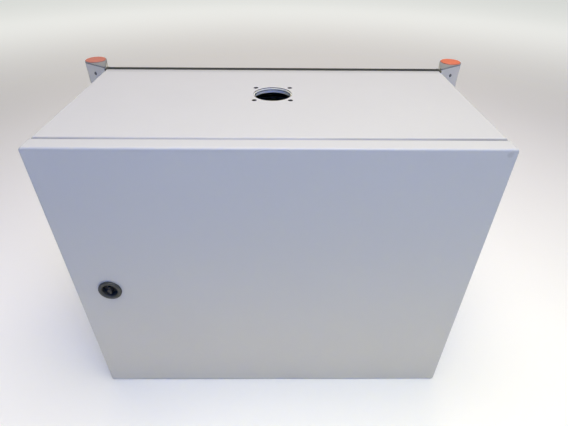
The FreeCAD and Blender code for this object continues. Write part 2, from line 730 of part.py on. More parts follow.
def din_rails():
    """Top-hat rails: 35 mm over the flanges, 27 mm over the hat, slotted along the back."""
    rails = []
    half = DIN_LONG / 2
    for zc in (ROW_UPPER, ROW_LOWER):
        outer = [
            (0, -13.5), (0, 13.5), (-DIN_DEEP + 1, 13.5), (-DIN_DEEP + 1, 17.5), (-DIN_DEEP, 17.5),
            (-DIN_DEEP, 12.5), (-1, 12.5), (-1, -12.5), (-DIN_DEEP, -12.5), (-DIN_DEEP, -17.5),
            (-DIN_DEEP + 1, -17.5), (-DIN_DEEP + 1, -13.5)]
        rail = prism([V(-half, Y_PLATE + y, zc + z) for y, z in outer], V(DIN_LONG, 0, 0))
        slots = []
        for step in range(12):
            x = -half + 15 + step * (DIN_LONG - 30) / 11
            if min(abs(x - sx) for sx, sz in rail_screw_places()) > 14:
                slots.append(rounded_box(x - 7, x + 7, Y_PLATE - 2, Y_PLATE + 1, zc - 3, zc + 3, 2.9, Y_AXIS))
        for x, z in rail_screw_places():
            slots.append(rod_y(SMALL_SCREW_R + 0.2, x, Y_PLATE - 2, Y_PLATE + 1, z))
        rails.append(rail.cut(slots))
    return rails


def rail_screws():
    """Pan-head screws through the rails into the mounting plate."""
    screws = []
    seat = Y_PLATE - 1
    for x, z in rail_screw_places():
        head = Part.makeCone(5.0, 3.6, 2.6, V(x, seat, z), -Y_AXIS)
        shank = rod_y(SMALL_SCREW_R - 0.02, x, seat, Y_PLATE + PLATE_THICK + 3, z)
        screws.append(head.fuse(shank).removeSplitter())
    return screws


# ---------------------------------------------------------------- wiring ducts
def duct_places():
    """Outline of each duct on the plate: left, right, bottom, top, and the direction it runs."""
    cross = PLATE_W / 2 - DUCT_W - 5
    tall = PLATE_STUD[1] - 12
    side = PLATE_H / 2 - 5
    return [
        (-cross - DUCT_W, -cross, -tall, tall, Z_AXIS),
        (cross, cross + DUCT_W, -tall, tall, Z_AXIS),
        (-cross + 1, cross - 1, side - DUCT_W, side, X_AXIS),
        (-cross + 1, cross - 1, -DUCT_W / 2, DUCT_W / 2, X_AXIS),
        (-cross + 1, cross - 1, -side, -side + DUCT_W, X_AXIS)]


def duct_slots(x0, x1, z0, z1, along):
    """Finger slots through both walls of a duct, on one pitch counted from the middle of the plate."""
    slots = []
    y0 = Y_PLATE - DUCT_DEEP + 7
    y1 = Y_PLATE - 9
    half = SLOT_W / 2
    low, high = (x0, x1) if along is X_AXIS else (z0, z1)
    count = int((high - low) / 2 / SLOT_PITCH)
    for step in range(-count, count + 1):
        at = step * SLOT_PITCH
        if min(at - low, high - at) < 6:
            continue
        if along is X_AXIS:
            slots.append(box(at - half, at + half, y0, y1, z0 - 1, z1 + 1))
        else:
            slots.append(box(x0 - 1, x1 + 1, y0, y1, at - half, at + half))
    return slots


def wiring_ducts():
    """Slotted trunking with open fronts."""
    ducts = []
    front = Y_PLATE - DUCT_DEEP + LID_THICK
    for x0, x1, z0, z1, along in duct_places():
        duct = box(x0, x1, front, Y_PLATE, z0, z1)
        if along is X_AXIS:
            hollow = box(x0 - 1, x1 + 1, front - 1, Y_PLATE - DUCT_WALL, z0 + DUCT_WALL, z1 - DUCT_WALL)
        else:
            hollow = box(x0 + DUCT_WALL, x1 - DUCT_WALL, front - 1, Y_PLATE - DUCT_WALL, z0 - 1, z1 + 1)
        ducts.append(duct.cut([hollow] + duct_slots(x0, x1, z0, z1, along)))
    return ducts


def duct_covers():
    """Snap-on lids with two inner ribs that sit against the duct walls."""
    lids = []
    face = Y_PLATE - DUCT_DEEP
    rib = DUCT_WALL + 0.1
    for x0, x1, z0, z1, along in duct_places():
        lid = rounded_box(x0, x1, face, face + LID_THICK, z0, z1, 0.7, along)
        inner = 1.6
        if along is X_AXIS:
            ribs = [box(x0, x1, face + LID_THICK, face + 5, z0 + rib, z0 + rib + inner),
                    box(x0, x1, face + LID_THICK, face + 5, z1 - rib - inner, z1 - rib)]
        else:
            ribs = [box(x0 + rib, x0 + rib + inner, face + LID_THICK, face + 5, z0, z1),
                    box(x1 - rib - inner, x1 - rib, face + LID_THICK, face + 5, z0, z1)]
        lids.append(lid.fuse(ribs).removeSplitter())
    return lids


# ---------------------------------------------------------------- switching devices
def device_x(module):
    """Left edge of a module position in the upper row."""
    return (module - ROW_MODULES / 2) * MODULE


def device_body(module, count, lever_w):
    """Moulded case on the rail: rear block, raised 45 mm front, terminals and the pocket of its lever."""
    x0 = device_x(module) + MODULE_GAP / 2
    x1 = device_x(module + count) - MODULE_GAP / 2
    front = Y_DIN - DEVICE_FRONT
    shoulder = Y_DIN - DEVICE_SHOULDER
    zc = ROW_UPPER
    outline = [
        (Y_DIN, -DEVICE_HALF), (shoulder, -DEVICE_HALF), (shoulder, -DEVICE_NOSE), (front, -DEVICE_NOSE),
        (front, DEVICE_NOSE), (shoulder, DEVICE_NOSE), (shoulder, DEVICE_HALF), (Y_DIN, DEVICE_HALF)]
    case = prism([V(x0, y, zc + z) for y, z in outline], V(x1 - x0, 0, 0))
    case = round_edges(case, 0.8, lambda c, d: abs(d.x) > 0.99 and c.y < Y_DIN - 1)
    hooks = []
    for side in (-1, 1):
        outer = sorted((zc + side * 17.6, zc + side * 24.0))
        under = sorted((zc + side * 15.6, zc + side * 18.0))
        hooks.append(box(x0, x1, Y_DIN - 0.5, Y_DIN + 3, outer[0], outer[1]))
        hooks.append(box(x0, x1, Y_DIN + 1.1, Y_DIN + 3, under[0], under[1]))
    case = case.fuse(hooks)
    cuts = []
    for pole in range(count):
        x = device_x(module + pole) + MODULE / 2
        for side in (-1, 1):
            edge = zc + side * DEVICE_HALF
            cuts.append(rod_z(TERMINAL_R, x, TERMINAL_Y, edge - side * 10, edge + side * 1))
            cuts.append(rod_y(2.6, x, shoulder - 1, shoulder + 9, zc + side * (DEVICE_HALF - 8)))
        if pole:
            edge_x = device_x(module + pole)
            cuts.append(box(edge_x - 0.25, edge_x + 0.25, front - 1, front + 0.5, zc - 30, zc + 30))
            for side in (-1, 1):
                groove = sorted((zc + side * (DEVICE_NOSE + 1), zc + side * (DEVICE_HALF + 1)))
                cuts.append(box(edge_x - 0.25, edge_x + 0.25, shoulder - 1, shoulder + 0.5, *groove))
    hub_x = (x0 + x1) / 2
    cuts.append(rod_x(TOGGLE_HUB_R + 0.3, hub_x - lever_w / 2 - 0.2, hub_x + lever_w / 2 + 0.2, HUB_Y, zc))
    reach = lever_w / 2 + TRUNNION_TALL + 0.2
    cuts.append(rod_x(TRUNNION_R + 0.05, hub_x - reach, hub_x + reach, HUB_Y, zc))
    return case.cut(cuts).removeSplitter()


def device_lever(module, count, lever_w):
    """Rocking lever on two trunnions, up for on."""
    hub_x = (device_x(module) + device_x(module + count)) / 2
    zc = ROW_UPPER
    x0, x1 = hub_x - lever_w / 2, hub_x + lever_w / 2
    tip = HUB_Y - TOGGLE_REACH
    blade = box(x0, x1, tip + 2, HUB_Y, zc - 2, zc + 2).fuse(rod_x(2.0, x0, x1, tip + 2, zc))
    blade.rotate(V(hub_x, HUB_Y, zc), X_AXIS, -TOGGLE_ANGLE)
    hub = rod_x(TOGGLE_HUB_R, x0, x1, HUB_Y, zc)
    trunnion = rod_x(TRUNNION_R, x0 - TRUNNION_TALL, x1 + TRUNNION_TALL, HUB_Y, zc)
    return hub.fuse([blade, trunnion]).removeSplitter()


def test_button_place():
    return device_x(RCD_MODULE) + 11.0, ROW_UPPER + 11.0


def rcd_body():
    """Residual-current device: a case with the socket of its test button."""
    x, z = test_button_place()
    front = Y_DIN - DEVICE_FRONT
    case = device_body(RCD_MODULE, RCD_POLES, RCD_LEVER_W)
    return case.cut(rod_y(BUTTON_R + 0.06, x, front - 1, front + BUTTON_TALL + 2, z))


def rcd_test_button():
    x, z = test_button_place()
    front = Y_DIN - DEVICE_FRONT
    button = rod_y(BUTTON_R, x, front - BUTTON_PROUD, front + BUTTON_TALL, z)
    rim = [edge for edge in button.Edges if abs(edge.CenterOfMass.y - front + BUTTON_PROUD) < 0.01]
    return button.makeFillet(0.5, rim)


def breaker_bodies():
    return [device_body(BREAKER_MODULE + n, 1, BREAKER_LEVER_W) for n in range(BREAKERS)]


def phase_busbar():
    """Insulated comb above the breakers; one tooth drops into each upper terminal."""
    top = ROW_UPPER + DEVICE_HALF
    x0 = device_x(BREAKER_MODULE) + 2
    x1 = device_x(BREAKER_MODULE + BREAKERS) - 2
    comb = box(x0, x1, TERMINAL_Y - 4, TERMINAL_Y + 4, top + 1.5, top + 10)
    teeth = []
    for n in range(BREAKERS):
        x = device_x(BREAKER_MODULE + n) + MODULE / 2
        teeth.append(box(x - 1.5, x + 1.5, TERMINAL_Y - 1, TERMINAL_Y + 1, top - 8, top + 2))
    return comb.fuse(teeth).removeSplitter()


def cover_post_places():
    return [(sx * COVER_POST[0], ROW_UPPER + sz * COVER_POST[1]) for sx in (-1, 1) for sz in (-1, 1)]


def breaker_cover():
    """Inner cover with a 46 mm window; it hides the terminals of the upper row."""
    half_w = COVER_POST[0] + 8.5
    half_h = COVER_POST[1] + 5
    y1 = Y_DIN - DEVICE_SHOULDER - 0.5
    y0 = y1 - SHEET
    cover = rounded_box(-half_w, half_w, y0, y1, ROW_UPPER - half_h, ROW_UPPER + half_h, 3.0, Y_AXIS)
    half_x = ROW_MODULES * MODULE / 2 + 0.5
    window = box(-half_x, half_x, y0 - 1, y1 + 1, ROW_UPPER - 23, ROW_UPPER + 23)
    cover = cover.cut(window)
    for x, z in cover_post_places():
        cover = cover.cut(rod_y(SMALL_SCREW_R + 0.2, x, y0 - 1, y1 + 1, z))
    return cover


def cover_posts():
    """Hexagonal posts that carry the inner cover."""
    posts = []
    y0 = Y_DIN - DEVICE_SHOULDER - 0.5
    for x, z in cover_post_places():
        post = hexagon(8.0, x, y0, Y_PLATE, z).fuse(rod_y(SMALL_SCREW_R - 0.02, x, Y_PLATE, Y_PLATE + 5, z))
        posts.append(post.cut(rod_y(2.0, x, y0 - 1, y0 + 14, z)).removeSplitter())
    return posts


def cover_screws():
    """Slotted screws in the corners of the inner cover."""
    screws = []
    face = Y_DIN - DEVICE_SHOULDER - 0.5 - SHEET
    for x, z in cover_post_places():
        head = rod_y(4.4, x, face - 3, face, z)
        rim = [edge for edge in head.Edges if abs(edge.CenterOfMass.y - face + 3) < 0.01]
        head = head.makeFillet(1.0, rim).cut(box(x - 5, x + 5, face - 4, face - 2, z - 0.5, z + 0.5))
        screws.append(head.fuse(rod_y(1.98, x, face, face + 12, z)).removeSplitter())
    return screws


# ---------------------------------------------------------------- lower row
def terminal_x(index):
    return TERMINAL_X + index * TERMINAL_W


def terminal_blocks():
    """Slim feed-through terminals, one wire hole and one screw hole at each end."""
    blocks = []
    zc = ROW_LOWER
    outline = [
        (Y_DIN, -22), (Y_DIN - 8, -30), (Y_DIN - 28, -30), (Y_DIN - 36, -22), (Y_DIN - 36, -12),
        (Y_DIN - 42, -9), (Y_DIN - 42, 9), (Y_DIN - 36, 12), (Y_DIN - 36, 22), (Y_DIN - 28, 30),
        (Y_DIN - 8, 30), (Y_DIN, 22)]
    half = TERMINAL_W / 2 - 0.05
    x = terminal_x(0)
    block = prism([V(x - half, y, zc + z) for y, z in outline], V(2 * half, 0, 0))
    for side in (-1, 1):
        outer = sorted((zc + side * 17.6, zc + side * 21.5))
        under = sorted((zc + side * 15.6, zc + side * 18.0))
        block = block.fuse([
            box(x - half, x + half, Y_DIN - 0.5, Y_DIN + 3, outer[0], outer[1]),
            box(x - half, x + half, Y_DIN + 1.1, Y_DIN + 3, under[0], under[1])])
        edge = zc + side * 30
        block = block.cut(rod_z(WIRE_R + 0.3, x, TERMINAL_Y, edge - side * 9, edge + side * 1))
        block = block.cut(rod_y(1.9, x, Y_DIN - 43, Y_DIN - 30, zc + side * 17))
    block = block.removeSplitter()
    for index in range(TERMINALS):
        blocks.append(block.translated(V(index * TERMINAL_W, 0, 0)))
    return blocks


def end_stops():
    """Clamps that keep the devices and the terminals from sliding along the rails."""
    stops = []
    row = ROW_MODULES * MODULE / 2
    ends = [(-row - END_STOP_W / 2 - 0.3, ROW_UPPER), (row + END_STOP_W / 2 + 0.3, ROW_UPPER)]
    for index, side in ((0, -1), (TERMINALS - 1, 1)):
        ends.append((terminal_x(index) + side * (TERMINAL_W / 2 + END_STOP_W / 2 + 0.1), ROW_LOWER))
    for x, zc in ends:
        half = END_STOP_W / 2
        stop = rounded_box(x - half, x + half, Y_DIN - 26, Y_DIN, zc - 24, zc + 24, 2.0, X_AXIS)
        for side in (-1, 1):
            outer = sorted((zc + side * 17.6, zc + side * 22.0))
            under = sorted((zc + side * 15.6, zc + side * 18.0))
            stop = stop.fuse([
                box(x - half, x + half, Y_DIN - 3, Y_DIN + 3, outer[0], outer[1]),
                box(x - half, x + half, Y_DIN + 1.1, Y_DIN + 3, under[0], under[1])])
        stop = stop.cut([rod_y(2.6, x, Y_DIN - 27, Y_DIN - 20, zc)])
        stops.append(stop.removeSplitter())
    return stops


def bar_screw_places():
    return [(BAR_X + 20 + n * SLOT_PITCH, z) for z in BAR_Z for n in range(BAR_WAYS)]


def bar_long():
    return 40 + (BAR_WAYS - 1) * SLOT_PITCH


def terminal_bars():
    """Brass neutral and earth bars, bored along Z for wires and along Y for clamping screws."""
    bars = []
    half = BAR_SIDE / 2
    for zc in BAR_Z:
        y0, y1 = TERMINAL_Y - half, TERMINAL_Y + half
        bar = rounded_box(BAR_X, BAR_X + bar_long(), y0, y1, zc - half, zc + half, 0.6, X_AXIS)
        cuts = []
        for x, z in bar_screw_places():
            if z == zc:
                cuts.append(rod_z(WIRE_R + 0.3, x, TERMINAL_Y, zc - 9, zc + 9))
                cuts.append(rod_y(2.0, x, y0 - 1, TERMINAL_Y, zc))
        for x in (BAR_X + 7, BAR_X + bar_long() - 7):
            cuts.append(rod_y(2.2, x, y0 - 1, y1 + 1, zc))
        bars.append(bar.cut(cuts))
    return bars


def bar_supports():
    """Moulded feet under the ends of the bars, each with its fixing screw boss."""
    supports = []
    y0 = TERMINAL_Y + BAR_SIDE / 2
    for zc in BAR_Z:
        for x in (BAR_X + 7, BAR_X + bar_long() - 7):
            foot = rounded_box(x - 7, x + 7, y0, Y_PLATE, zc - 9, zc + 9, 2.0, Y_AXIS)
            boss = rod_y(2.15, x, TERMINAL_Y - BAR_SIDE / 2 - 1.2, y0, zc)
            cap = Part.makeCone(4.2, 3.4, 2.2, V(x, TERMINAL_Y - BAR_SIDE / 2, zc), -Y_AXIS)
            supports.append(foot.fuse([boss, cap]).removeSplitter())
    return supports


def bar_screws():
    """Clamping screws of the bars."""
    screws = []
    face = TERMINAL_Y - BAR_SIDE / 2
    for x, z in bar_screw_places():
        head = rod_y(3.3, x, face - 2.4, face - 0.4, z)
        head = head.cut(box(x - 4, x + 4, face - 3, face - 1.6, z - 0.45, z + 0.45))
        screws.append(head.fuse(rod_y(1.95, x, face - 0.4, TERMINAL_Y - WIRE_R - 0.35, z)).removeSplitter())
    return screws


# ---------------------------------------------------------------- wires
def wire(points, radius=None):
    """Round wire through a list of points: straight runs with a ball at every bend."""
    radius = radius or WIRE_R
    corners = [V(*p) for p in points]
    runs = [rod(radius, start, end) for start, end in zip(corners, corners[1:])]
    balls = [Part.makeSphere(radius, corner) for corner in corners[1:-1]]
    return runs[0].fuse(runs[1:] + balls).removeSplitter()


def nearest_slot(x):
    return round(x / SLOT_PITCH) * SLOT_PITCH


def drop(x_from, y_from, z_from, x_to, z_to):
    """Wire from a duct slot to a terminal hole: straight ends and one slanted run between them."""
    side = 1.0 if z_to > z_from else -1.0
    return wire([
        (x_from, y_from, z_from), (x_from, y_from, z_from + side * 5.0),
        (x_to, TERMINAL_Y, z_to - side * 8.0), (x_to, TERMINAL_Y, z_to)])


def pole_x(module):
    return device_x(module) + MODULE / 2


def phase_wires():
    """Line conductors: duct to main switch, residual-current device, breakers and terminals."""
    wires = []
    lower = ROW_UPPER - DEVICE_HALF
    upper = ROW_UPPER + DEVICE_HALF
    mid_top = DUCT_W / 2 - 4
    top_low = PLATE_H / 2 - 5 - DUCT_W + 4
    poles = [0, 1, 2, 3, 4, 5] + [BREAKER_MODULE + n for n in range(BREAKERS)]
    for module in poles:
        x = pole_x(module)
        wires.append(drop(nearest_slot(x), TERMINAL_Y, mid_top, x, lower + 7))
    for module in (3, 4, 5):
        x = pole_x(module)
        wires.append(drop(nearest_slot(x), TERMINAL_Y, top_low, x, upper - 7))
    for n in range(BREAKERS):
        x = terminal_x(2 * n)
        wires.append(drop(nearest_slot(x), TERMINAL_Y, -mid_top, x, ROW_LOWER + 30 - 7))
    return wires


def neutral_wires():
    """Neutral conductors: residual-current device, neutral bar and every second terminal."""
    wires = []
    mid_top = DUCT_W / 2 - 4
    top_low = PLATE_H / 2 - 5 - DUCT_W + 4
    x = pole_x(RCD_MODULE + RCD_POLES - 1)
    wires.append(drop(nearest_slot(x), TERMINAL_Y, mid_top, x, ROW_UPPER - DEVICE_HALF + 7))
    wires.append(drop(nearest_slot(x), TERMINAL_Y, top_low, x, ROW_UPPER + DEVICE_HALF - 7))
    for n in range(BREAKERS):
        x = terminal_x(2 * n + 1)
        slot = terminal_x(2 * n)
        wires.append(drop(slot, TERMINAL_Y - WIRE_STEP, -mid_top, x, ROW_LOWER + 30 - 7))
    for x, z in bar_screw_places()[:BREAKERS + 1]:
        wires.append(drop(x, TERMINAL_Y - 2, -mid_top, x, z + BAR_SIDE / 2 - 2.5))
    return wires


def earth_wires():
    """Earth conductors from the bottom duct up to the earth bar."""
    wires = []
    low = -PLATE_H / 2 + 5 + DUCT_W - 4
    for x, z in bar_screw_places()[BAR_WAYS:BAR_WAYS + BREAKERS + 1]:
        wires.append(drop(x, TERMINAL_Y - 2, low, x, z - BAR_SIDE / 2 + 2.5))
    return wires


# ---------------------------------------------------------------- door earth strap
def body_earth_stud():
    """Welded stud on the floor of the body, with the flange nut that clamps the strap."""
    x, y, z = BODY_STUD
    floor = -HALF_H + SHEET
    stud = rod_z(3.0, x, y, floor, z + 12).fuse(rod_z(5.0, x, y, floor, z)).removeSplitter()
    nut = rod_z(7.0, x, y, z + LUG_THICK, z + LUG_THICK + 1.4)
    nut = nut.fuse(rod_z(5.2, x, y, z + LUG_THICK, z + 7)).removeSplitter()
    return [stud, nut.cut(rod_z(3.02, x, y, z - 1, z + 20))]


def door_earth_stud():
    """Welded stud on the inside of the door, with its flange nut."""
    x, y, z = DOOR_STUD
    skin = Y_DOOR + SHEET
    stud = rod_y(3.0, x, skin, y + 12, z).fuse(rod_y(5.0, x, skin, y, z)).removeSplitter()
    nut = rod_y(7.0, x, y + LUG_THICK, y + LUG_THICK + 1.4, z)
    nut = nut.fuse(rod_y(5.2, x, y + LUG_THICK, y + 7, z)).removeSplitter()
    return [stud, nut.cut(rod_y(3.02, x, y - 1, y + 20, z))]


def door_earth_strap():
    """Slack earth lead between the two studs, with a ring lug at each end."""
    bx, by, bz = BODY_STUD
    dx, dy, dz = DOOR_STUD
    low = rod_z(6.0, bx, by, bz, bz + LUG_THICK)
    low = low.fuse(box(bx - 2.6, bx + 2.6, by, by + 12, bz, bz + LUG_THICK))
    low = low.cut(rod_z(3.05, bx, by, bz - 1, bz + 3))
    high = rod_y(6.0, dx, dy, dy + LUG_THICK, dz)
    high = high.fuse(box(dx - 2.6, dx + 2.6, dy, dy + LUG_THICK, dz, dz + 12))
    high = high.cut(rod_y(3.05, dx, dy - 1, dy + 3, dz))
    lead = wire([
        (bx, by + 10, bz + 0.6), (bx, by + 15, bz + 1.5), (bx, by + 24, bz + 20), (bx, by + 14, bz + 52),
        (dx, dy + 16, dz + 30), (dx, dy + 3, dz + 18), (dx, dy + 0.6, dz + 10)], STRAP_R)
    return lead.fuse([low, high]).removeSplitter()


# ---------------------------------------------------------------- output
def main():
    os.makedirs("parts", exist_ok=True)
    body = body_shell().fuse(rear_wall()).removeSplitter()
    post = post_right()
    nodes = {
        "enclosure_body": body,
        "roof_backing_ring": roof_backing_ring(),
        "gland_gasket": gland_gasket(),
        "gland_plate": gland_plate(),
        "gland_screws": gland_screws(),
        "frame_bolts": frame_bolts(),
        "door_panel": door_pan(),
        "door_gasket": door_gasket(),
        "door_stiffeners": door_stiffeners(),
        "hinge_arms": hinge_arms(),
        "hinge_screws": hinge_screws(),
        "hinge_knuckles": hinge_knuckles(),
        "hinge_pins": hinge_pins(),
        "lock_housing": lock_housing(),
        "lock_nut": lock_nut(),
        "lock_insert": lock_insert(),
        "lock_cam": lock_cam(),
        "lock_cam_screw": lock_cam_screw(),
        "post_right": post,
        "post_left": mirrored(post),
        "post_end_plates": post_end_plates(),
        "post_plugs": post_plugs(),
        "post_screws": post_screws(),
        "cross_rail_upper": cross_rail(1),
        "cross_rail_lower": cross_rail(-1),
        "rail_end_caps": rail_end_caps(),
        "wall_brackets": wall_brackets(),
        "plate_studs": plate_studs(),
        "mounting_plate": mounting_plate(),
        "plate_nuts": plate_nuts(),
        "din_rails": din_rails(),
        "rail_screws": rail_screws(),
        "wiring_ducts": wiring_ducts(),
        "duct_covers": duct_covers(),
        "main_switch_body": device_body(0, SWITCH_POLES, SWITCH_LEVER_W),
        "main_switch_lever": device_lever(0, SWITCH_POLES, SWITCH_LEVER_W),
        "rcd_body": rcd_body(),
        "rcd_lever": device_lever(RCD_MODULE, RCD_POLES, RCD_LEVER_W),
        "rcd_test_button": rcd_test_button(),
        "breaker_bodies": breaker_bodies(),
        "phase_busbar": phase_busbar(),
        "breaker_cover": breaker_cover(),
        "cover_posts": cover_posts(),
        "cover_screws": cover_screws(),
        "terminal_blocks": terminal_blocks(),
        "end_stops": end_stops(),
        "terminal_bars": terminal_bars(),
        "bar_supports": bar_supports(),
        "bar_screws": bar_screws(),
        "phase_wires": phase_wires(),
        "neutral_wires": neutral_wires(),
        "earth_wires": earth_wires(),
        "body_earth_stud": body_earth_stud(),
        "door_earth_stud": door_earth_stud(),
        "door_earth_strap": door_earth_strap(),
    }
    for number in range(BREAKERS):
        lever = device_lever(BREAKER_MODULE + number, 1, BREAKER_LEVER_W)
        nodes["breaker_lever_" + str(number + 1)] = lever
    for name, shapes in nodes.items():
        export(name, shapes)


main()
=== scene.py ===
"""Looks of the breaker panel box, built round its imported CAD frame. Metres, in the CAD row frame."""

import bpy
import json
import math
import numpy as np
from mathutils import Matrix, Vector


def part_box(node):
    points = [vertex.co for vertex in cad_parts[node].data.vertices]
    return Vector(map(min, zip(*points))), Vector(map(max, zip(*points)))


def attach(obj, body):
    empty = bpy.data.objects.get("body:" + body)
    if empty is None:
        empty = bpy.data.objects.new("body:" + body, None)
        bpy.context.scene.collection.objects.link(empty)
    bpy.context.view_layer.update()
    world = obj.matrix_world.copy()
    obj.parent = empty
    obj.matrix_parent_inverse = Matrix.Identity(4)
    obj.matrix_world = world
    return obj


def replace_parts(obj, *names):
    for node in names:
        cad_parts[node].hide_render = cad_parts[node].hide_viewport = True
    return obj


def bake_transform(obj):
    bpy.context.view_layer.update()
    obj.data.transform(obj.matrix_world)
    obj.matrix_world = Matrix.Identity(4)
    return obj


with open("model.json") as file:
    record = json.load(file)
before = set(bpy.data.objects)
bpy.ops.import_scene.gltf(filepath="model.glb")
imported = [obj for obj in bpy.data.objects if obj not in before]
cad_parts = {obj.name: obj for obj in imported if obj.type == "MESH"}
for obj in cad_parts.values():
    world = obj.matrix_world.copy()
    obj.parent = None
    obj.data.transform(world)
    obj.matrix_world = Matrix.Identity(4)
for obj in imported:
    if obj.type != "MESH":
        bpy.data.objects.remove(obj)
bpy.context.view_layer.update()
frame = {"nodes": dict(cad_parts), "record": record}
nodes = frame["nodes"]

MM = 0.001


# ---------------------------------------------------------------- places taken from the frame
def centre(node):
    """Middle of a CAD node's box."""
    low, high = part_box(node)
    return (low + high) / 2


DOOR_LOW, DOOR_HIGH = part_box("door_panel")
BODY_LOW, BODY_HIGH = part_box("enclosure_body")
WIDTH = DOOR_HIGH.x - DOOR_LOW.x


# ---------------------------------------------------------------- node materials
NOISE_LOW, NOISE_HIGH = 0.25, 0.75
MIX_COLOUR_A, MIX_COLOUR_B, MIX_COLOUR_OUT = 6, 7, 2


class Look:
    """Builder of one procedural material on a Principled shader. Lengths are in metres."""

    def __init__(self, name, colour, roughness, metallic=0.0):
        self.material = bpy.data.materials.new(name)
        self.material.use_nodes = True
        self.tree = self.material.node_tree
        self.shader = self.tree.nodes["Principled BSDF"]
        self.shader.inputs["Metallic"].default_value = metallic
        self.colour = self.value(colour)
        self.roughness = self.value(roughness)
        self.height = None
        coordinates = self.tree.nodes.new("ShaderNodeTexCoord")
        self.place = coordinates.outputs["Object"]

    def value(self, item):
        """Socket for a colour or a number, or the socket itself."""
        if hasattr(item, "links"):
            return item
        if isinstance(item, (tuple, list)):
            node = self.tree.nodes.new("ShaderNodeRGB")
            node.outputs[0].default_value = (*item[:3], 1.0)
            return node.outputs[0]
        node = self.tree.nodes.new("ShaderNodeValue")
        node.outputs[0].default_value = item
        return node.outputs[0]

    def join(self, source, target):
        """Links a socket to an input, or sets the input to a plain value."""
        if hasattr(source, "links"):
            self.tree.links.new(source, target)
        else:
            target.default_value = source

    def math(self, operation, a, b=0.0, clamp=False):
        node = self.tree.nodes.new("ShaderNodeMath")
        node.operation = operation
        node.use_clamp = clamp
        self.join(a, node.inputs[0])
        self.join(b, node.inputs[1])
        return node.outputs[0]

    def part(self, share, amount):
        """A share made weaker by a number, or limited to the places where another share is 1."""
        return self.math("MULTIPLY", share, amount)

    def beyond(self, axis, place):
        """1 where the position along an axis is beyond a place, 0 before it."""
        return self.math("GREATER_THAN", self.along(axis), place)

    def stretch(self, scale):
        """Object coordinates scaled per axis, so that a pattern can run along one direction."""
        node = self.tree.nodes.new("ShaderNodeMapping")
        node.inputs["Scale"].default_value = scale
        self.join(self.place, node.inputs["Vector"])
        return node.outputs[0]

    def noise(self, scale, detail=3.0, vector=None):
        """Noise whose grains are about 1/scale metres across."""
        node = self.tree.nodes.new("ShaderNodeTexNoise")
        node.inputs["Scale"].default_value = scale
        node.inputs["Detail"].default_value = detail
        self.join(vector or self.place, node.inputs["Vector"])
        return node.outputs["Fac"]

    def cells(self, scale, output="Color"):
        """Cells about 1/scale metres across: a random colour for each, or the distance from its middle."""
        node = self.tree.nodes.new("ShaderNodeTexVoronoi")
        node.inputs["Scale"].default_value = scale
        self.join(self.place, node.inputs["Vector"])
        return node.outputs[output]

    def band(self, value, low, high):
        """0 below low, 1 above high, smooth between."""
        node = self.tree.nodes.new("ShaderNodeMapRange")
        node.interpolation_type = "SMOOTHSTEP"
        self.join(value, node.inputs["Value"])
        node.inputs["From Min"].default_value = low
        node.inputs["From Max"].default_value = high
        return node.outputs["Result"]

    def spread(self, value, low, high):
        """Noise remapped to run from low to high."""
        node = self.tree.nodes.new("ShaderNodeMapRange")
        self.join(value, node.inputs["Value"])
        node.inputs["From Min"].default_value = NOISE_LOW
        node.inputs["From Max"].default_value = NOISE_HIGH
        node.inputs["To Min"].default_value = low
        node.inputs["To Max"].default_value = high
        return node.outputs["Result"]

    def blend(self, share, a, b):
        """Colour a where share is 0, colour b where it is 1."""
        node = self.tree.nodes.new("ShaderNodeMix")
        node.data_type = "RGBA"
        self.join(share, node.inputs["Factor"])
        self.join(self.value(a), node.inputs[MIX_COLOUR_A])
        self.join(self.value(b), node.inputs[MIX_COLOUR_B])
        return node.outputs[MIX_COLOUR_OUT]

    def shade(self, share, factor):
        """Darkens or lightens the colour by a factor where share is 1."""
        node = self.tree.nodes.new("ShaderNodeMix")
        node.data_type = "RGBA"
        node.blend_type = "MULTIPLY"
        self.join(share, node.inputs["Factor"])
        self.join(self.colour, node.inputs[MIX_COLOUR_A])
        node.inputs[MIX_COLOUR_B].default_value = (factor, factor, factor, 1.0)
        self.colour = node.outputs[MIX_COLOUR_OUT]

    def tint(self, share, colour):
        """Changes the colour to another one where share is 1."""
        self.colour = self.blend(share, self.colour, colour)

    def relief(self, height, depth):
        """Adds a bump of the given depth in metres."""
        node = self.tree.nodes.new("ShaderNodeBump")
        node.inputs["Strength"].default_value = 1.0
        node.inputs["Distance"].default_value = depth
        self.join(height, node.inputs["Height"])
        if self.height is not None:
            self.join(self.height, node.inputs["Normal"])
        self.height = node.outputs["Normal"]

    def edges(self, radius):
        """1 along sharp outer edges, 0 on flat faces."""
        bevel = self.tree.nodes.new("ShaderNodeBevel")
        bevel.samples = 4
        bevel.inputs["Radius"].default_value = radius
        geometry = self.tree.nodes.new("ShaderNodeNewGeometry")
        dot = self.tree.nodes.new("ShaderNodeVectorMath")
        dot.operation = "DOT_PRODUCT"
        self.join(bevel.outputs["Normal"], dot.inputs[0])
        self.join(geometry.outputs["Normal"], dot.inputs[1])
        return self.band(self.math("SUBTRACT", 1.0, dot.outputs["Value"]), 0.02, 0.3)

    def along(self, axis):
        """Position along one axis of the row frame, in metres."""
        node = self.tree.nodes.new("ShaderNodeSeparateXYZ")
        self.join(self.place, node.inputs[0])
        return node.outputs[axis]

    def distance(self, point, scale=(1.0, 1.0, 1.0)):
        """Distance from a point; a zero in scale leaves that axis out, for the distance from a line."""
        node = self.tree.nodes.new("ShaderNodeVectorMath")
        node.operation = "DISTANCE"
        self.join(self.stretch(scale), node.inputs[0])
        node.inputs[1].default_value = [c * k for c, k in zip(point, scale)]
        return node.outputs["Value"]

    def ring_line(self, value, middle, half):
        """1 in a thin band of a position round its middle, 0 outside."""
        gap = self.math("ABSOLUTE", self.math("SUBTRACT", value, middle))
        return self.band(gap, half, half * 0.4)

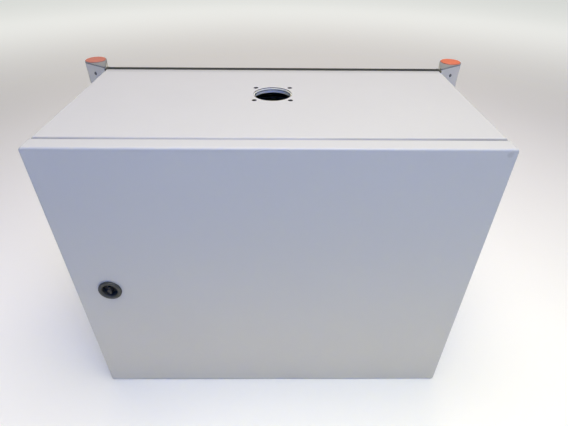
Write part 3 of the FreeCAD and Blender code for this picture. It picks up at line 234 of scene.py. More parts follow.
    def attribute(self, name):
        """A number stored at the points of the mesh."""
        node = self.tree.nodes.new("ShaderNodeAttribute")
        node.attribute_name = name
        return node.outputs["Fac"]

    def done(self):
        """Links the finished colour, roughness and relief to the shader."""
        self.join(self.colour, self.shader.inputs["Base Color"])
        self.join(self.roughness, self.shader.inputs["Roughness"])
        if self.height is not None:
            self.join(self.height, self.shader.inputs["Normal"])
        return self.material


STRAW_YELLOW = (0.78, 0.70, 0.46)
BRIGHT_ZINC = (0.86, 0.86, 0.85)
RUBBED_ZINC = (0.8, 0.8, 0.8)
RUBBED_ALUMINIUM = (0.72, 0.72, 0.71)
EARTH_GREEN = (0.055, 0.24, 0.03)
EARTH_YELLOW = (0.82, 0.66, 0.03)
BRASS_YELLOW = (0.72, 0.50, 0.20)


def powder_coat(name, colour, roughness=0.48, peel=0.02 * MM):
    """Sprayed powder coat: orange-peel skin, faint cloudy shade, dust specks and rubbed edges."""
    look = Look(name, colour, roughness)
    cloud = look.noise(7.0, 4.0)
    look.shade(look.spread(cloud, 0.0, 0.5), 0.965)
    speck = look.band(look.noise(1400.0, 1.0), 0.70, 0.78)
    look.shade(look.part(speck, 0.5), 0.82)
    rub = look.part(look.edges(1.2 * MM), look.spread(look.noise(60.0), 0.1, 0.7))
    look.tint(look.part(rub, 0.35), [min(1.0, c * 1.25) for c in colour])
    look.roughness = look.spread(look.noise(25.0), roughness - 0.05, roughness + 0.06)
    look.relief(look.noise(850.0, 2.0), peel)
    look.relief(look.noise(2600.0, 1.0), peel * 0.4)
    return look


def moulded(name, colour, roughness=0.5, grain=0.012 * MM):
    """Moulded plastic: fine spark-erosion grain, soft shade changes and a slight edge polish."""
    look = Look(name, colour, roughness)
    look.shade(look.spread(look.noise(45.0), 0.0, 0.6), 0.93)
    look.roughness = look.spread(look.noise(160.0), roughness - 0.06, roughness + 0.08)
    edge = look.edges(0.5 * MM)
    look.tint(look.part(edge, 0.25), [min(1.0, c * 1.3 + 0.02) for c in colour])
    look.relief(look.noise(3200.0, 2.0), grain)
    return look


def plated(name, colour, roughness=0.34, along=(1.0, 1.0, 1.0)):
    """Zinc-plated steel: drawn lines along one axis, cloudy passivation and brighter edges."""
    look = Look(name, colour, roughness, metallic=1.0)
    lines = look.noise(700.0, 3.0, look.stretch(along))
    look.shade(look.spread(look.noise(30.0, 4.0), 0.0, 0.8), 0.85)
    passivated = look.band(look.noise(18.0), 0.45, 0.7)
    look.tint(look.part(passivated, 0.16), STRAW_YELLOW)
    look.roughness = look.spread(lines, roughness - 0.07, roughness + 0.14)
    look.relief(lines, 0.008 * MM)
    look.tint(look.part(look.edges(0.6 * MM), 0.4), BRIGHT_ZINC)
    return look


def earth_striped(name):
    """Green and yellow wire insulation: the stripe follows the wire's own round-angle attribute."""
    look = Look(name, EARTH_GREEN, 0.42)
    stripe = look.band(look.attribute("round_cosine"), 0.05, 0.15)
    look.tint(stripe, EARTH_YELLOW)
    look.shade(look.spread(look.noise(90.0), 0.0, 0.6), 0.9)
    look.relief(look.noise(1500.0, 2.0), 0.02 * MM)
    return look


def wire_insulation(name, colour):
    """Soft plastic round a wire, in one colour with uneven gloss."""
    look = Look(name, colour, 0.42)
    look.shade(look.spread(look.noise(80.0), 0.0, 0.7), 0.85)
    look.roughness = look.spread(look.noise(400.0), 0.36, 0.5)
    look.relief(look.noise(1500.0, 2.0), 0.02 * MM)
    return look


def foam(name, colour):
    """Foamed seal: open pores with a slightly shiny skin between them."""
    look = Look(name, colour, 0.8)
    pores = look.cells(1500.0, "Distance")
    look.shade(look.band(pores, 0.5, 0.1), 0.6)
    look.relief(pores, 0.08 * MM)
    look.relief(look.noise(240.0, 3.0), 0.15 * MM)
    return look


def spangle(name, colour):
    """Hot-dip galvanised sheet: flat crystals about 10 mm across, each with its own shade and gloss."""
    look = Look(name, colour, 0.4, metallic=0.6)
    crystal = look.cells(95.0)
    look.shade(look.spread(crystal, 0.0, 1.0), 0.91)
    look.roughness = look.spread(crystal, 0.36, 0.46)
    look.shade(look.spread(look.noise(12.0, 4.0), 0.0, 0.5), 0.9)
    look.relief(look.noise(900.0, 2.0), 0.008 * MM)
    look.tint(look.part(look.edges(0.6 * MM), 0.3), RUBBED_ZINC)
    return look


def brass(name):
    """Drawn brass bar: lines along X and patches of tarnish."""
    look = Look(name, BRASS_YELLOW, 0.28, metallic=1.0)
    lines = look.noise(900.0, 3.0, look.stretch((0.06, 1.0, 1.0)))
    look.shade(look.spread(look.noise(70.0, 3.0), 0.0, 0.8), 0.75)
    look.roughness = look.spread(lines, 0.2, 0.4)
    look.relief(lines, 0.01 * MM)
    return look


def anodised(name, colour):
    """Grey coated aluminium section: faint die lines along its length."""
    look = Look(name, colour, 0.46, metallic=0.25)
    lines = look.noise(900.0, 2.0, look.stretch((1.0, 1.0, 0.02)))
    look.shade(look.spread(look.noise(14.0, 4.0), 0.0, 0.5), 0.93)
    look.shade(look.spread(lines, 0.0, 0.35), 0.9)
    look.roughness = look.spread(look.noise(200.0), 0.40, 0.54)
    look.relief(lines, 0.01 * MM)
    look.relief(look.noise(1800.0, 2.0), 0.01 * MM)
    look.tint(look.part(look.edges(0.8 * MM), 0.35), RUBBED_ALUMINIUM)
    return look


# roof and cable entry
ROOF_Z = BODY_HIGH.z
ROOF_SKIN = 0.1 * MM
ROOF_SHEET = 2.0 * MM
REAR_SHADE = 16 * MM
ENTRY = centre("roof_backing_ring")
ENTRY_SCREW_OFFSET = 22.5 * MM
ENTRY_SCREW_SHADE = 3.5 * MM
# pale colour of the entry hole's wall: painted light, for the light that falls into the hole
RING_WALL_LIGHT = (0.93, 0.90, 0.78)
RING_WALL_R = 24.7 * MM
RIM_LINE_DEPTH = 0.9 * MM
JOINT_LINE_DEPTH = 3.2 * MM
JOINT_LINE_HALF = 0.7 * MM

# painted shade in the gap between the body and the door
BODY_FOLD_Y = DOOR_HIGH.y + 3.0 * MM
GAP_DEPTH = 2.4 * MM
GAP_SHADE = 0.24
GAP_CORNER_SHADE = 0.12
GAP_HINGE_SHADE = 0.18
DOOR_GAP_SHADE_START = 1.6 * MM
DOOR_GAP_SHADE_FULL = 0.6 * MM

# marks on the door, painted shade on its side bends, and the duller left plug
DOOR_BEND_R = 2.0 * MM
DOOR_BEND_END = 0.5 * MM
SMUDGE = (DOOR_HIGH.x - 8.5 * MM, DOOR_LOW.y, DOOR_HIGH.z - 6.0 * MM)
SMUDGE_OUTER_R = 6.5 * MM
SMUDGE_INNER_R = 3.5 * MM
SMUDGE_RAGGED = 4 * MM
PLUG_DULL_X = WIDTH / 10


def dark_screw_bores(look):
    """Shade inside the four small screw bores round the cable entry."""
    for sx in (-1, 1):
        for sy in (-1, 1):
            place = (ENTRY.x + sx * ENTRY_SCREW_OFFSET, ENTRY.y + sy * ENTRY_SCREW_OFFSET, 0.0)
            reach = look.distance(place, (1.0, 1.0, 0.0))
            inside = look.math("LESS_THAN", reach, ENTRY_SCREW_SHADE)
            below = look.math("LESS_THAN", look.along("Z"), ROOF_Z - ROOF_SKIN)
            look.shade(look.part(inside, below), 0.06)


def gap_painted_shade(look, inside):
    """Painted shade in the gap between the body and the door, darker towards the corners and on the hinge
    side.
    """
    # painted shade along the gap, stronger towards the corners and on the hinge side
    side = look.along("X")
    corner = look.band(look.math("ABSOLUTE", side), 0.30 * WIDTH, 0.44 * WIDTH)
    hinge_side = look.band(side, 0.06 * WIDTH, 0.18 * WIDTH)
    extra = look.math("ADD", look.part(corner, GAP_CORNER_SHADE), look.part(hinge_side, GAP_HINGE_SHADE))
    look.shade(look.part(inside, look.math("ADD", extra, GAP_SHADE)), 0.22)


def body_coat(name, colour):
    """Powder coat of the body: painted shade in the door gap, a roof darker towards its rear edge, painted
    light on the wall of the entry hole, and dark bores.
    """
    look = powder_coat(name, colour)
    # painted shade in the gap along the front fold of the body
    gap_painted_shade(look, look.band(look.along("Y"), BODY_FOLD_Y + GAP_DEPTH, BODY_FOLD_Y + GAP_DEPTH * 0.5))
    on_roof = look.beyond("Z", ROOF_Z - ROOF_SHEET)
    # painted light: the sheet's edge round the entry hole takes the ring's pale pale colour
    reach = look.distance((ENTRY.x, ENTRY.y, 0.0), (1.0, 1.0, 0.0))
    wall = look.part(look.math("LESS_THAN", reach, RING_WALL_R), on_roof)
    look.tint(wall, RING_WALL_LIGHT)
    look.shade(look.part(wall, look.beyond("Z", ROOF_Z - RIM_LINE_DEPTH)), 0.10)
    # the roof is darkened towards its rear edge
    rear = look.band(look.along("Y"), BODY_HIGH.y - REAR_SHADE, BODY_HIGH.y)
    look.shade(look.part(rear, on_roof), 0.80)
    dark_screw_bores(look)
    return look


def ring_coat(name):
    """Roof ring with a pale coat that is painted light on its inner wall, and a dark joint line round that
    wall.
    """
    look = powder_coat(name, RING_WALL_LIGHT)
    line = look.ring_line(look.along("Z"), ROOF_Z - JOINT_LINE_DEPTH, JOINT_LINE_HALF)
    look.shade(look.part(line, look.spread(look.noise(90.0), 0.8, 1.0)), 0.08)
    dark_screw_bores(look)
    return look


def door_coat(name, colour):
    """Powder coat of the door: painted shade in the gap, a small smudge near one corner, and painted shade
    on the side bends.
    """
    look = powder_coat(name, colour)
    # painted shade in the gap along the back edge of the door
    gap_painted_shade(look, look.band(look.along("Y"), DOOR_HIGH.y - DOOR_GAP_SHADE_START, DOOR_HIGH.y - DOOR_GAP_SHADE_FULL))
    ragged = look.part(look.noise(420.0, 3.0), SMUDGE_RAGGED)
    smudge = look.band(look.math("ADD", look.distance(SMUDGE), ragged), SMUDGE_OUTER_R, SMUDGE_INNER_R)
    look.shade(look.part(smudge, 0.35), 0.55)
    sideways = look.math("ABSOLUTE", look.along("X"))
    # painted shade on the side bends of the door, which face away from the lamps
    look.shade(look.band(sideways, WIDTH / 2 - DOOR_BEND_R, WIDTH / 2 - DOOR_BEND_END), 0.86)
    return look


def left_duller_plug(name, colour, duller_colour):
    """Moulded plug; the one on the left is given a duller colour."""
    look = moulded(name, colour, 0.55)
    left = look.band(look.along("X"), PLUG_DULL_X, -PLUG_DULL_X)
    # the plug on the left is tinted to a duller colour
    look.tint(look.part(left, 0.8), duller_colour)
    return look


GREY_COAT = (0.535, 0.535, 0.53)

looks = {
    "body_coat": body_coat("body_coat", GREY_COAT),
    "ring_coat": ring_coat("ring_coat"),
    "door_coat": door_coat("door_coat", GREY_COAT),
    "grey_powder_coat": powder_coat("grey_powder_coat", GREY_COAT),
    "zinc_steel": plated("zinc_steel", (0.60, 0.60, 0.59), 0.38, (1.0, 1.0, 0.05)),
    "zinc_screw": plated("zinc_screw", (0.66, 0.66, 0.63), 0.28),
    "black_screw": moulded("black_screw", (0.10, 0.10, 0.10), 0.45),
    "black_steel": powder_coat("black_steel", (0.022, 0.022, 0.024), 0.5),
    "grey_post": anodised("grey_post", (0.69, 0.66, 0.63)),
    "grey_plate": moulded("grey_plate", (0.235, 0.235, 0.23), 0.5),
    "orange_plastic": left_duller_plug("orange_plastic", (0.62, 0.155, 0.078), (0.44, 0.165, 0.122)),
    "black_plastic": moulded("black_plastic", (0.048, 0.048, 0.041), 0.5),
    "dark_zinc": moulded("dark_zinc", (0.045, 0.042, 0.036), 0.7),
    "seal": foam("seal", (0.03, 0.03, 0.032)),
    "duct_grey": moulded("duct_grey", (0.33, 0.35, 0.37), 0.5),
    "device_case": moulded("device_case", (0.66, 0.66, 0.64), 0.45),
    "black_lever": moulded("black_lever", (0.015, 0.015, 0.016), 0.35),
    "red_lever": moulded("red_lever", (0.50, 0.018, 0.012), 0.35),
    "test_yellow": moulded("test_yellow", (0.75, 0.46, 0.02), 0.4),
    "busbar_grey": moulded("busbar_grey", (0.12, 0.125, 0.13), 0.5),
    "cover_white": powder_coat("cover_white", (0.68, 0.68, 0.67)),
    "terminal_beige": moulded("terminal_beige", (0.42, 0.40, 0.34), 0.5),
    "brass": brass("brass"),
    "support_blue": moulded("support_blue", (0.02, 0.022, 0.026), 0.45),
    "wire_brown": wire_insulation("wire_brown", (0.085, 0.03, 0.014)),
    "wire_blue": wire_insulation("wire_blue", (0.012, 0.085, 0.38)),
    "wire_earth": earth_striped("wire_earth"),
    "galvanised": spangle("galvanised", (0.62, 0.62, 0.61)),
    "label_white": moulded("label_white", (0.72, 0.72, 0.69), 0.6, 0.006 * MM),
    "print_black": moulded("print_black", (0.02, 0.02, 0.02), 0.6, 0.004 * MM),
    "marker_white": moulded("marker_white", (0.66, 0.66, 0.62), 0.5),
}
materials = {name: look.done() for name, look in looks.items()}


def paint(obj, material):
    """Gives the whole object one material."""
    obj.data.materials.clear()
    obj.data.materials.append(materials[material])
    for polygon in obj.data.polygons:
        polygon.material_index = 0


SPECIAL_FINISH = {
    "mounting_plate": "galvanised",
    "gland_plate": "galvanised",
    "din_rails": "galvanised",
    "enclosure_body": "body_coat",
    "roof_backing_ring": "ring_coat",
    "door_panel": "door_coat",
}
slot_of = {}
for row in frame["record"]["subparts"]:
    slot_of[row["node"]] = row["material_slot"]
    paint(nodes[row["node"]], SPECIAL_FINISH.get(row["node"], row["material_slot"]))


# ---------------------------------------------------------------- mesh helpers
def new_piece(name, vertices, faces, material, body, smooth=True):
    """Mesh object in the row frame, painted and set to ride on one CAD body."""
    mesh = bpy.data.meshes.new(name)
    mesh.from_pydata([tuple(v) for v in vertices], [], faces)
    mesh.validate()
    mesh.update()
    obj = bpy.data.objects.new(name, mesh)
    bpy.context.scene.collection.objects.link(obj)
    paint(obj, material)
    if smooth:
        for polygon in mesh.polygons:
            polygon.use_smooth = True
    if body:
        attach(obj, body)
    return obj


def loose_solids(node):
    """Vertex arrays of the separate solids of a CAD node, in order along X."""
    mesh = nodes[node].data
    points = np.array([v.co for v in mesh.vertices], float)
    keys = np.round(points, 7)
    _, merged = np.unique(keys, axis=0, return_inverse=True)
    merged = merged.ravel()
    parent = list(range(merged.max() + 1))

    def find(item):
        while parent[item] != item:
            parent[item] = parent[parent[item]]
            item = parent[item]
        return item

    for edge in mesh.edges:
        a, b = find(merged[edge.vertices[0]]), find(merged[edge.vertices[1]])
        if a != b:
            parent[a] = b
    groups = {}
    for index, key in enumerate(merged):
        groups.setdefault(find(key), []).append(index)
    solids = [points[members] for members in groups.values()]
    return sorted(solids, key=lambda s: (round(s[:, 0].mean(), 5), s[:, 2].mean()))


def smooth_path(points, steps):
    """Catmull-Rom curve through the points."""
    points = [Vector(p) for p in points]
    padded = [2 * points[0] - points[1]] + points + [2 * points[-1] - points[-2]]
    path = []
    for a, b, c, d in zip(padded, padded[1:], padded[2:], padded[3:]):
        for step in range(steps):
            t = step / steps
            path.append(0.5 * (
                2 * b + (c - a) * t + (2 * a - 5 * b + 4 * c - d) * t * t
                + (3 * b - a - 3 * c + d) * t * t * t))
    path.append(points[-1])
    return path


def tube_mesh(path, radii, sides):
    """Vertices, faces and round-angle cosines of a closed tube along a path."""
    vertices, faces, cosines = [], [], []
    tangent = (path[1] - path[0]).normalized()
    across = tangent.orthogonal().normalized()
    count = len(path)
    for index, point in enumerate(path):
        ahead = path[min(index + 1, count - 1)] - path[max(index - 1, 0)]
        ahead.normalize()
        across = (across - ahead * across.dot(ahead)).normalized()
        other = ahead.cross(across)
        radius = radii[index] if isinstance(radii, list) else radii
        for side in range(sides):
            angle = 2 * math.pi * side / sides
            vertices.append(point + radius * (math.cos(angle) * across + math.sin(angle) * other))
            cosines.append(math.cos(angle))
    for ring in range(count - 1):
        for side in range(sides):
            after = (side + 1) % sides
            base, top = ring * sides, (ring + 1) * sides
            faces.append((base + side, base + after, top + after, top + side))
    faces.append(tuple(reversed(range(sides))))
    faces.append(tuple(range((count - 1) * sides, count * sides)))
    return vertices, faces, cosines


def tubes(name, runs, material, body, sides=14):
    """One piece made of several tubes, each a (path, radius) pair."""
    vertices, faces, cosines = [], [], []
    for path, radius in runs:
        v, f, c = tube_mesh(path, radius, sides)
        faces += [tuple(i + len(vertices) for i in face) for face in f]
        vertices += v
        cosines += c
    obj = new_piece(name, vertices, faces, material, body)
    layer = obj.data.attributes.new("round_cosine", "FLOAT", "POINT")
    layer.data.foreach_set("value", np.array(cosines, np.float32))
    return obj


# ---------------------------------------------------------------- wires
WIRE_R = 1.649 * MM
WIRE_SLACK_X = 0.5 * MM
WIRE_SLACK_Y = 0.35 * MM
WIRE_END_DEPTH = 0.05 * MM

# sleeves on the wires: radius, and the stretch that they cover as shares of the wire's length
MARKER_R = 2.1 * MM
MARKER_PLACE = (0.66, 0.74)


def wire_ends(solid):
    """Centres of the lower and upper ends of a wire solid."""
    low, high = solid[:, 2].min(), solid[:, 2].max()
    ends = []
    for z in (low, high):
        ring = solid[np.abs(solid[:, 2] - z) < WIRE_END_DEPTH]
        ends.append(Vector((ring[:, 0].mean(), ring[:, 1].mean(), z)))
    return ends


def wire_run(solid, index):
    """Smooth wire between the ends of its CAD solid, with a little slack that differs from wire to wire."""
    low, high = wire_ends(solid)
    rise = Vector((0, 0, high.z - low.z))
    sideways, outward = math.sin(2.3 * index), 1 + math.cos(1.7 * index)
    slack = Vector((WIRE_SLACK_X * sideways, -WIRE_SLACK_Y * outward, 0))
    points = [low, low + 0.2 * rise, (low + high) / 2 + slack, high - 0.25 * rise, high]
    return smooth_path(points, 8), WIRE_R


sleeves = []
for node in ("phase_wires", "neutral_wires", "earth_wires"):
    runs = [wire_run(solid, index) for index, solid in enumerate(loose_solids(node))]
    piece = tubes(node + "_insulation", runs, slot_of[node], "enclosure")
    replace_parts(piece, node)
    for path, radius in runs:
        first, last = (int(share * len(path)) for share in MARKER_PLACE)
        sleeves.append((path[first:last + 1], MARKER_R))
tubes("wire_markers", sleeves, "marker_white", "enclosure")


# ---------------------------------------------------------------- pieces made of simple shapes
class Build:
    """Collects the vertices and faces of one piece that is made of several closed shapes."""

    def __init__(self):
        self.vertices = []
        self.faces = []

    def add(self, vertices, faces):
        """Adds faces whose indices count from their own first vertex."""
        start = len(self.vertices)
        self.vertices += [Vector(v) for v in vertices]
        self.faces += [tuple(i + start for i in face) for face in faces]

    def block(self, low, high):
        """Box between two corners."""
        corners = [
            (x, y, z) for x in (low[0], high[0]) for y in (low[1], high[1]) for z in (low[2], high[2])]
        sides = [(0, 1, 3, 2), (4, 6, 7, 5), (0, 4, 5, 1), (2, 3, 7, 6), (0, 2, 6, 4), (1, 5, 7, 3)]
        self.add(corners, sides)

    def plate(self, outline, bottom, top):
        """Flat plate: an outline of points moved from bottom to top."""
        count = len(outline)
        bottom, top = Vector(bottom), Vector(top)
        rings = [Vector(p) + bottom for p in outline] + [Vector(p) + top for p in outline]
        faces = [tuple(reversed(range(count))), tuple(range(count, 2 * count))]
        for i in range(count):
            after = (i + 1) % count
            faces.append((i, after, count + after, count + i))
        self.add(rings, faces)

    def washer(self, middle, axis, across, inner, outer, thick, steps=36):
        """Flat ring round an axis."""
        middle, axis, across = Vector(middle), Vector(axis), Vector(across)
        side = axis.cross(across)
        points = []
        for radius, rise in ((inner, 0.0), (outer, 0.0), (outer, thick), (inner, thick)):
            for step in range(steps):
                angle = 2 * math.pi * step / steps
                spoke = math.cos(angle) * across + math.sin(angle) * side
                points.append(middle + radius * spoke + rise * axis)
        faces = []
        for ring in range(4):
            following = (ring + 1) % 4
            for step in range(steps):
                after = (step + 1) % steps
                faces.append((
                    ring * steps + step, ring * steps + after,
                    following * steps + after, following * steps + step))
        self.add(points, faces)

    def tube(self, path, radii, sides=18):
        """Closed tube along a path."""
        vertices, faces, _ = tube_mesh([Vector(p) for p in path], radii, sides)
        self.add(vertices, faces)

    def piece(self, name, material, body, slot, smooth=False):
        """Makes the mesh object of what was collected."""
        return new_piece(name, self.vertices, self.faces, material, body, smooth)


# ---------------------------------------------------------------- earth lead of the door
LUG_THICK = 1.2 * MM
LUG_HOLE_R = 3.05 * MM
LUG_RING_R = 6.0 * MM
LUG_NECK = 2.4 * MM
LUG_NECK_START = 0.86 * LUG_RING_R
LUG_NECK_OVERLAP = 1.0 * MM
BARREL_R = 2.75 * MM
BARREL_START = 8.5 * MM
BARREL_END = 18.0 * MM
DENT_DEPTH = 0.35 * MM
DENT_PLACE = 0.45
DENT_SPREAD = 0.13
LEAD_R = 2.1 * MM
STUD_RISE = 4.5 * MM


def ring_lug(name, seat, axis, away, body):
    """Crimped ring lug: a ring on the stud, a neck, and a dented barrel that holds the lead."""
    axis, away = Vector(axis), Vector(away)
    side = axis.cross(away)
    lug = Build()
    lug.washer(seat, axis, away, LUG_HOLE_R, LUG_RING_R, LUG_THICK)
    near, far = LUG_NECK_START, BARREL_START + LUG_NECK_OVERLAP
    neck = [
        near * away - LUG_NECK * side, far * away - LUG_NECK * side,
        far * away + LUG_NECK * side, near * away + LUG_NECK * side]
    lug.plate(neck, seat, seat + LUG_THICK * axis)
    path, radii = [], []
    for step in range(13):
        share = step / 12
        dent = DENT_DEPTH * math.exp(-((share - DENT_PLACE) / DENT_SPREAD) ** 2)
        path.append(seat + (BARREL_START + share * (BARREL_END - BARREL_START)) * away + BARREL_R * axis)
        radii.append(BARREL_R - dent)
    lug.tube(path, radii)
    lug.piece(name, "zinc_steel", body, slot_of["plate_studs"])


body_stud = centre("body_earth_stud")
body_seat = Vector((body_stud.x, body_stud.y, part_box("body_earth_stud")[0].z + STUD_RISE))
door_stud = centre("door_earth_stud")
door_seat = Vector((door_stud.x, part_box("door_earth_stud")[0].y + STUD_RISE, door_stud.z))
ring_lug("earth_lug_body", body_seat, (0, 0, 1), (0, 1, 0), "enclosure")
ring_lug("earth_lug_door", door_seat, (0, 1, 0), (0, 0, 1), "door")


def lead_path():
    """Slack loop of the lead: up from the floor stud, over, and down to the stud on the door."""
    from_body = body_seat + Vector((0, 0, BARREL_R))
    from_door = door_seat + Vector((0, BARREL_R, 0))
    return [
        from_body + Vector((0, 12, 0)) * MM,
        from_body + Vector((0, 17, 0)) * MM,
        from_body + Vector((-2, 36, 7)) * MM,
        from_body + Vector((-5, 49, 28)) * MM,
        from_body + Vector((-6, 46, 55)) * MM,
        from_body + Vector((-4, 27, 76)) * MM,
        from_door + Vector((-2, 38, 46)) * MM,
        from_door + Vector((0, 15, 42)) * MM,
        from_door + Vector((0, 3, 30)) * MM,
        from_door + Vector((0, 0, 17)) * MM,
        from_door + Vector((0, 0, 12)) * MM]


lead_run = (smooth_path(lead_path(), 10), LEAD_R)
lead = tubes("door_earth_lead", [lead_run], "wire_earth", None)
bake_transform(lead)
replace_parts(lead, "door_earth_strap")


# ---------------------------------------------------------------- door seal
def rounded_loop(low, high, radius, steps):
    """Outline of a rounded rectangle in X and Z, as (point, outward) pairs that run round once."""
    outline = []
    corners = ((high.x, high.z, 0), (low.x, high.z, 90), (low.x, low.z, 180), (high.x, low.z, 270))
    for x, z, start in corners:
        cx = x - radius if x == high.x else x + radius
        cz = z - radius if z == high.z else z + radius
        for step in range(steps + 1):
            angle = math.radians(start + 90 * step / steps)
            outward = Vector((math.cos(angle), 0, math.sin(angle)))
            outline.append((Vector((cx, 0, cz)) + radius * outward, outward))
    return outline


def dense(outline, spacing):
    """Extra points along the straight sides of a closed outline."""
    result = []
    for (a, na), (b, nb) in zip(outline, outline[1:] + outline[:1]):
        count = max(1, int((b - a).length / spacing))
        for step in range(count):
            t = step / count
            result.append((a.lerp(b, t), na.lerp(nb, t).normalized()))
    return result


SEAL_CORNER_R = 11 * MM
SEAL_WIDTH = 9 * MM
SEAL_SPACING = 6 * MM
SEAL_LIFT = 0.02 * MM
SEAL_CLEARANCE = 0.1 * MM
SEAL_ROWS = 11
SEAL_SHOULDER = 0.70


def seal_bead():
    """Poured foam bead with a crowned, slightly uneven top that follows a rounded rectangle."""
    low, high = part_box("door_gasket")
    poured_from = low.y + SEAL_LIFT
    height = high.y - low.y - SEAL_CLEARANCE
    outline = dense(rounded_loop(low, high, SEAL_CORNER_R, 8), SEAL_SPACING)
    rows = SEAL_ROWS
    vertices, faces = [], []
    for index, (point, outward) in enumerate(outline):
        swell = 1.0 + 0.03 * math.sin(0.9 * index) + 0.02 * math.sin(0.37 * index + 1.0)
        for row in range(rows):
            turn = math.pi * row / (rows - 1)
            across = 0.5 * SEAL_WIDTH * (1 - math.cos(turn))
            dome = (1.0 - SEAL_SHOULDER) * math.sin(turn) ** 0.7 * swell
            crown = min(height, height * (SEAL_SHOULDER + dome))
            if row in (0, rows - 1):
                crown = 0.0
            place = point - outward * across
            vertices.append((place.x, poured_from + crown, place.z))
    count = len(outline)
    for index in range(count):
        here, after = index * rows, (index + 1) % count * rows
        for row in range(rows - 1):
            faces.append((here + row, here + row + 1, after + row + 1, after + row))
        faces.append((here + rows - 1, here, after, after + rows - 1))
    slot = slot_of["door_gasket"]
    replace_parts(new_piece("door_seal_bead", vertices, faces, slot, "door"), "door_gasket")


seal_bead()


# ---------------------------------------------------------------- gland foam
FOAM_WIDTH = 20.0 * MM
FOAM_BULGE = 0.7 * MM
FOAM_WAVE = 0.25
FOAM_CORNER_R = 4 * MM
FOAM_SPACING = 5 * MM
FOAM_ROWS = 6


def gland_foam():
    """Flat foam frame under the gland plate, squeezed so that its free sides bulge."""
    low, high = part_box("gland_gasket")
    # the loop is drawn in X and Z, and its Z then stands for the frame's Y
    flat_low, flat_high = Vector((low.x, 0, low.y)), Vector((high.x, 0, high.y))
    outline = dense(rounded_loop(flat_low, flat_high, FOAM_CORNER_R, 6), FOAM_SPACING)
    tall = high.z - low.z
    outer_side, inner_side = [], []
    for step in range(FOAM_ROWS + 1):
        turn = math.pi * step / FOAM_ROWS
        sunk = FOAM_BULGE * (1.0 - math.sin(turn))
        rise = tall * (1 - math.cos(turn)) / 2
        outer_side.append((-sunk, low.z + rise))
        inner_side.append((sunk - FOAM_WIDTH, high.z - rise))
    section = outer_side + inner_side
    rows = len(section)
    vertices, faces = [], []
    for index, (point, outward) in enumerate(outline):
        wave = 1.0 + FOAM_WAVE * math.sin(0.8 * index)
        for across, z in section:
            place = point + outward * (across * (wave if across > -FOAM_WIDTH / 2 else 1.0))
            vertices.append((place.x, place.z, z))
    count = len(outline)
    for index in range(count):
        here, after = index * rows, (index + 1) % count * rows
        for row in range(rows):
            up = (row + 1) % rows
            faces.append((here + row, after + row, after + up, here + up))
    slot = slot_of["gland_gasket"]
    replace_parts(new_piece("gland_foam_frame", vertices, faces, slot, "enclosure"), "gland_gasket")


gland_foam()


# ---------------------------------------------------------------- small parts of the rows of devices
DEVICES = ("main_switch_body", "rcd_body", "breaker_bodies")
DEVICE_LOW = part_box("main_switch_body")[0]
BREAKERS_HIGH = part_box("breaker_bodies")[1]
TERMINALS_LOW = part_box("terminal_blocks")[0]
MODULE = 17.5 * MM
ROW_Z = centre("main_switch_body").z
TERMINAL_ROW_Z = centre("terminal_blocks").z
FRONT_Y = DEVICE_LOW.y
PRINT = 0.12 * MM

# screw heads: how deep they sit, radius, height and slot
TERMINAL_SCREW_OFFSET = 17 * MM
TERMINAL_SCREW = (7.6 * MM, 1.8 * MM, 2.4 * MM, 0.6 * MM)
STOP_SCREW = (1.4 * MM, 2.5 * MM, 4.0 * MM, 0.8 * MM)
SCREW_BASE = 0.35

# terminal tags
TAG_HALF_WIDTH = 2.5 * MM
TAG_HALF_HEIGHT = 4.0 * MM
TAG_FRONT = 0.3 * MM
TAG_BACK = 0.01 * MM

# marks and label fields of the devices
MARK_OFFSET = 12.5 * MM
MARK_HALF_WIDTH = 0.35 * MM
MARK_HALF_HEIGHT = 1.5 * MM
OFF_RING = (1.0 * MM, 1.6 * MM)
FIELD_BELOW = (20.5 * MM, 16.5 * MM)
FIELD_HALF_WIDTH = 8 * MM
FIELD_MARGIN = 2.5 * MM

# strip on the inner cover
STRIP_ABOVE = (10 * MM, 22 * MM)
STRIP_THICK = 0.5 * MM
STRIP_CORNER_R = 1.5 * MM
STRIP_LINE_HALF = 0.15 * MM
STRIP_LINE_INSET = 1.5 * MM


def solid_boxes(node):
    """Lowest and highest corners of each separate solid of a node, in order along X."""
    return [(Vector(solid.min(axis=0)), Vector(solid.max(axis=0))) for solid in loose_solids(node)]


def slotted_head(build, x, front, z, screw, turn):
    """Screw head seen from the front: two half moons on a base disc, with the slot between them."""
    depth, radius, tall, slot_width = screw
    face = front + depth
    step_y = face + SCREW_BASE * tall

    def rim(angle):
        return x + radius * math.cos(angle), 0, z + radius * math.sin(angle)

    base = [rim(2 * math.pi * k / 24) for k in range(24)]
    build.plate(base, (0, face + tall, 0), (0, step_y, 0))
    open_angle = math.asin(slot_width / 2 / radius)
    for side in (0, math.pi):
        start, sweep = side + open_angle + turn, math.pi - 2 * open_angle
        moon = [rim(start + sweep * k / 12) for k in range(13)]
        build.plate(moon, (0, step_y, 0), (0, face, 0))


def terminal_screws():
    """Slotted screws down in the screw holes of the terminals and of the rail end stops."""
    screws = Build()
    for index, (low, high) in enumerate(solid_boxes("terminal_blocks")):
        x = (low.x + high.x) / 2
        for side in (-1, 1):
            z = TERMINAL_ROW_Z + side * TERMINAL_SCREW_OFFSET
            slotted_head(screws, x, TERMINALS_LOW.y, z, TERMINAL_SCREW, 0.7 * index + side)
    for index, (low, high) in enumerate(solid_boxes("end_stops")):
        slotted_head(screws, (low.x + high.x) / 2, low.y, (low.z + high.z) / 2, STOP_SCREW, 1.3 * index)
    screws.piece("terminal_screws", "zinc_screw", "enclosure", slot_of["bar_screws"])


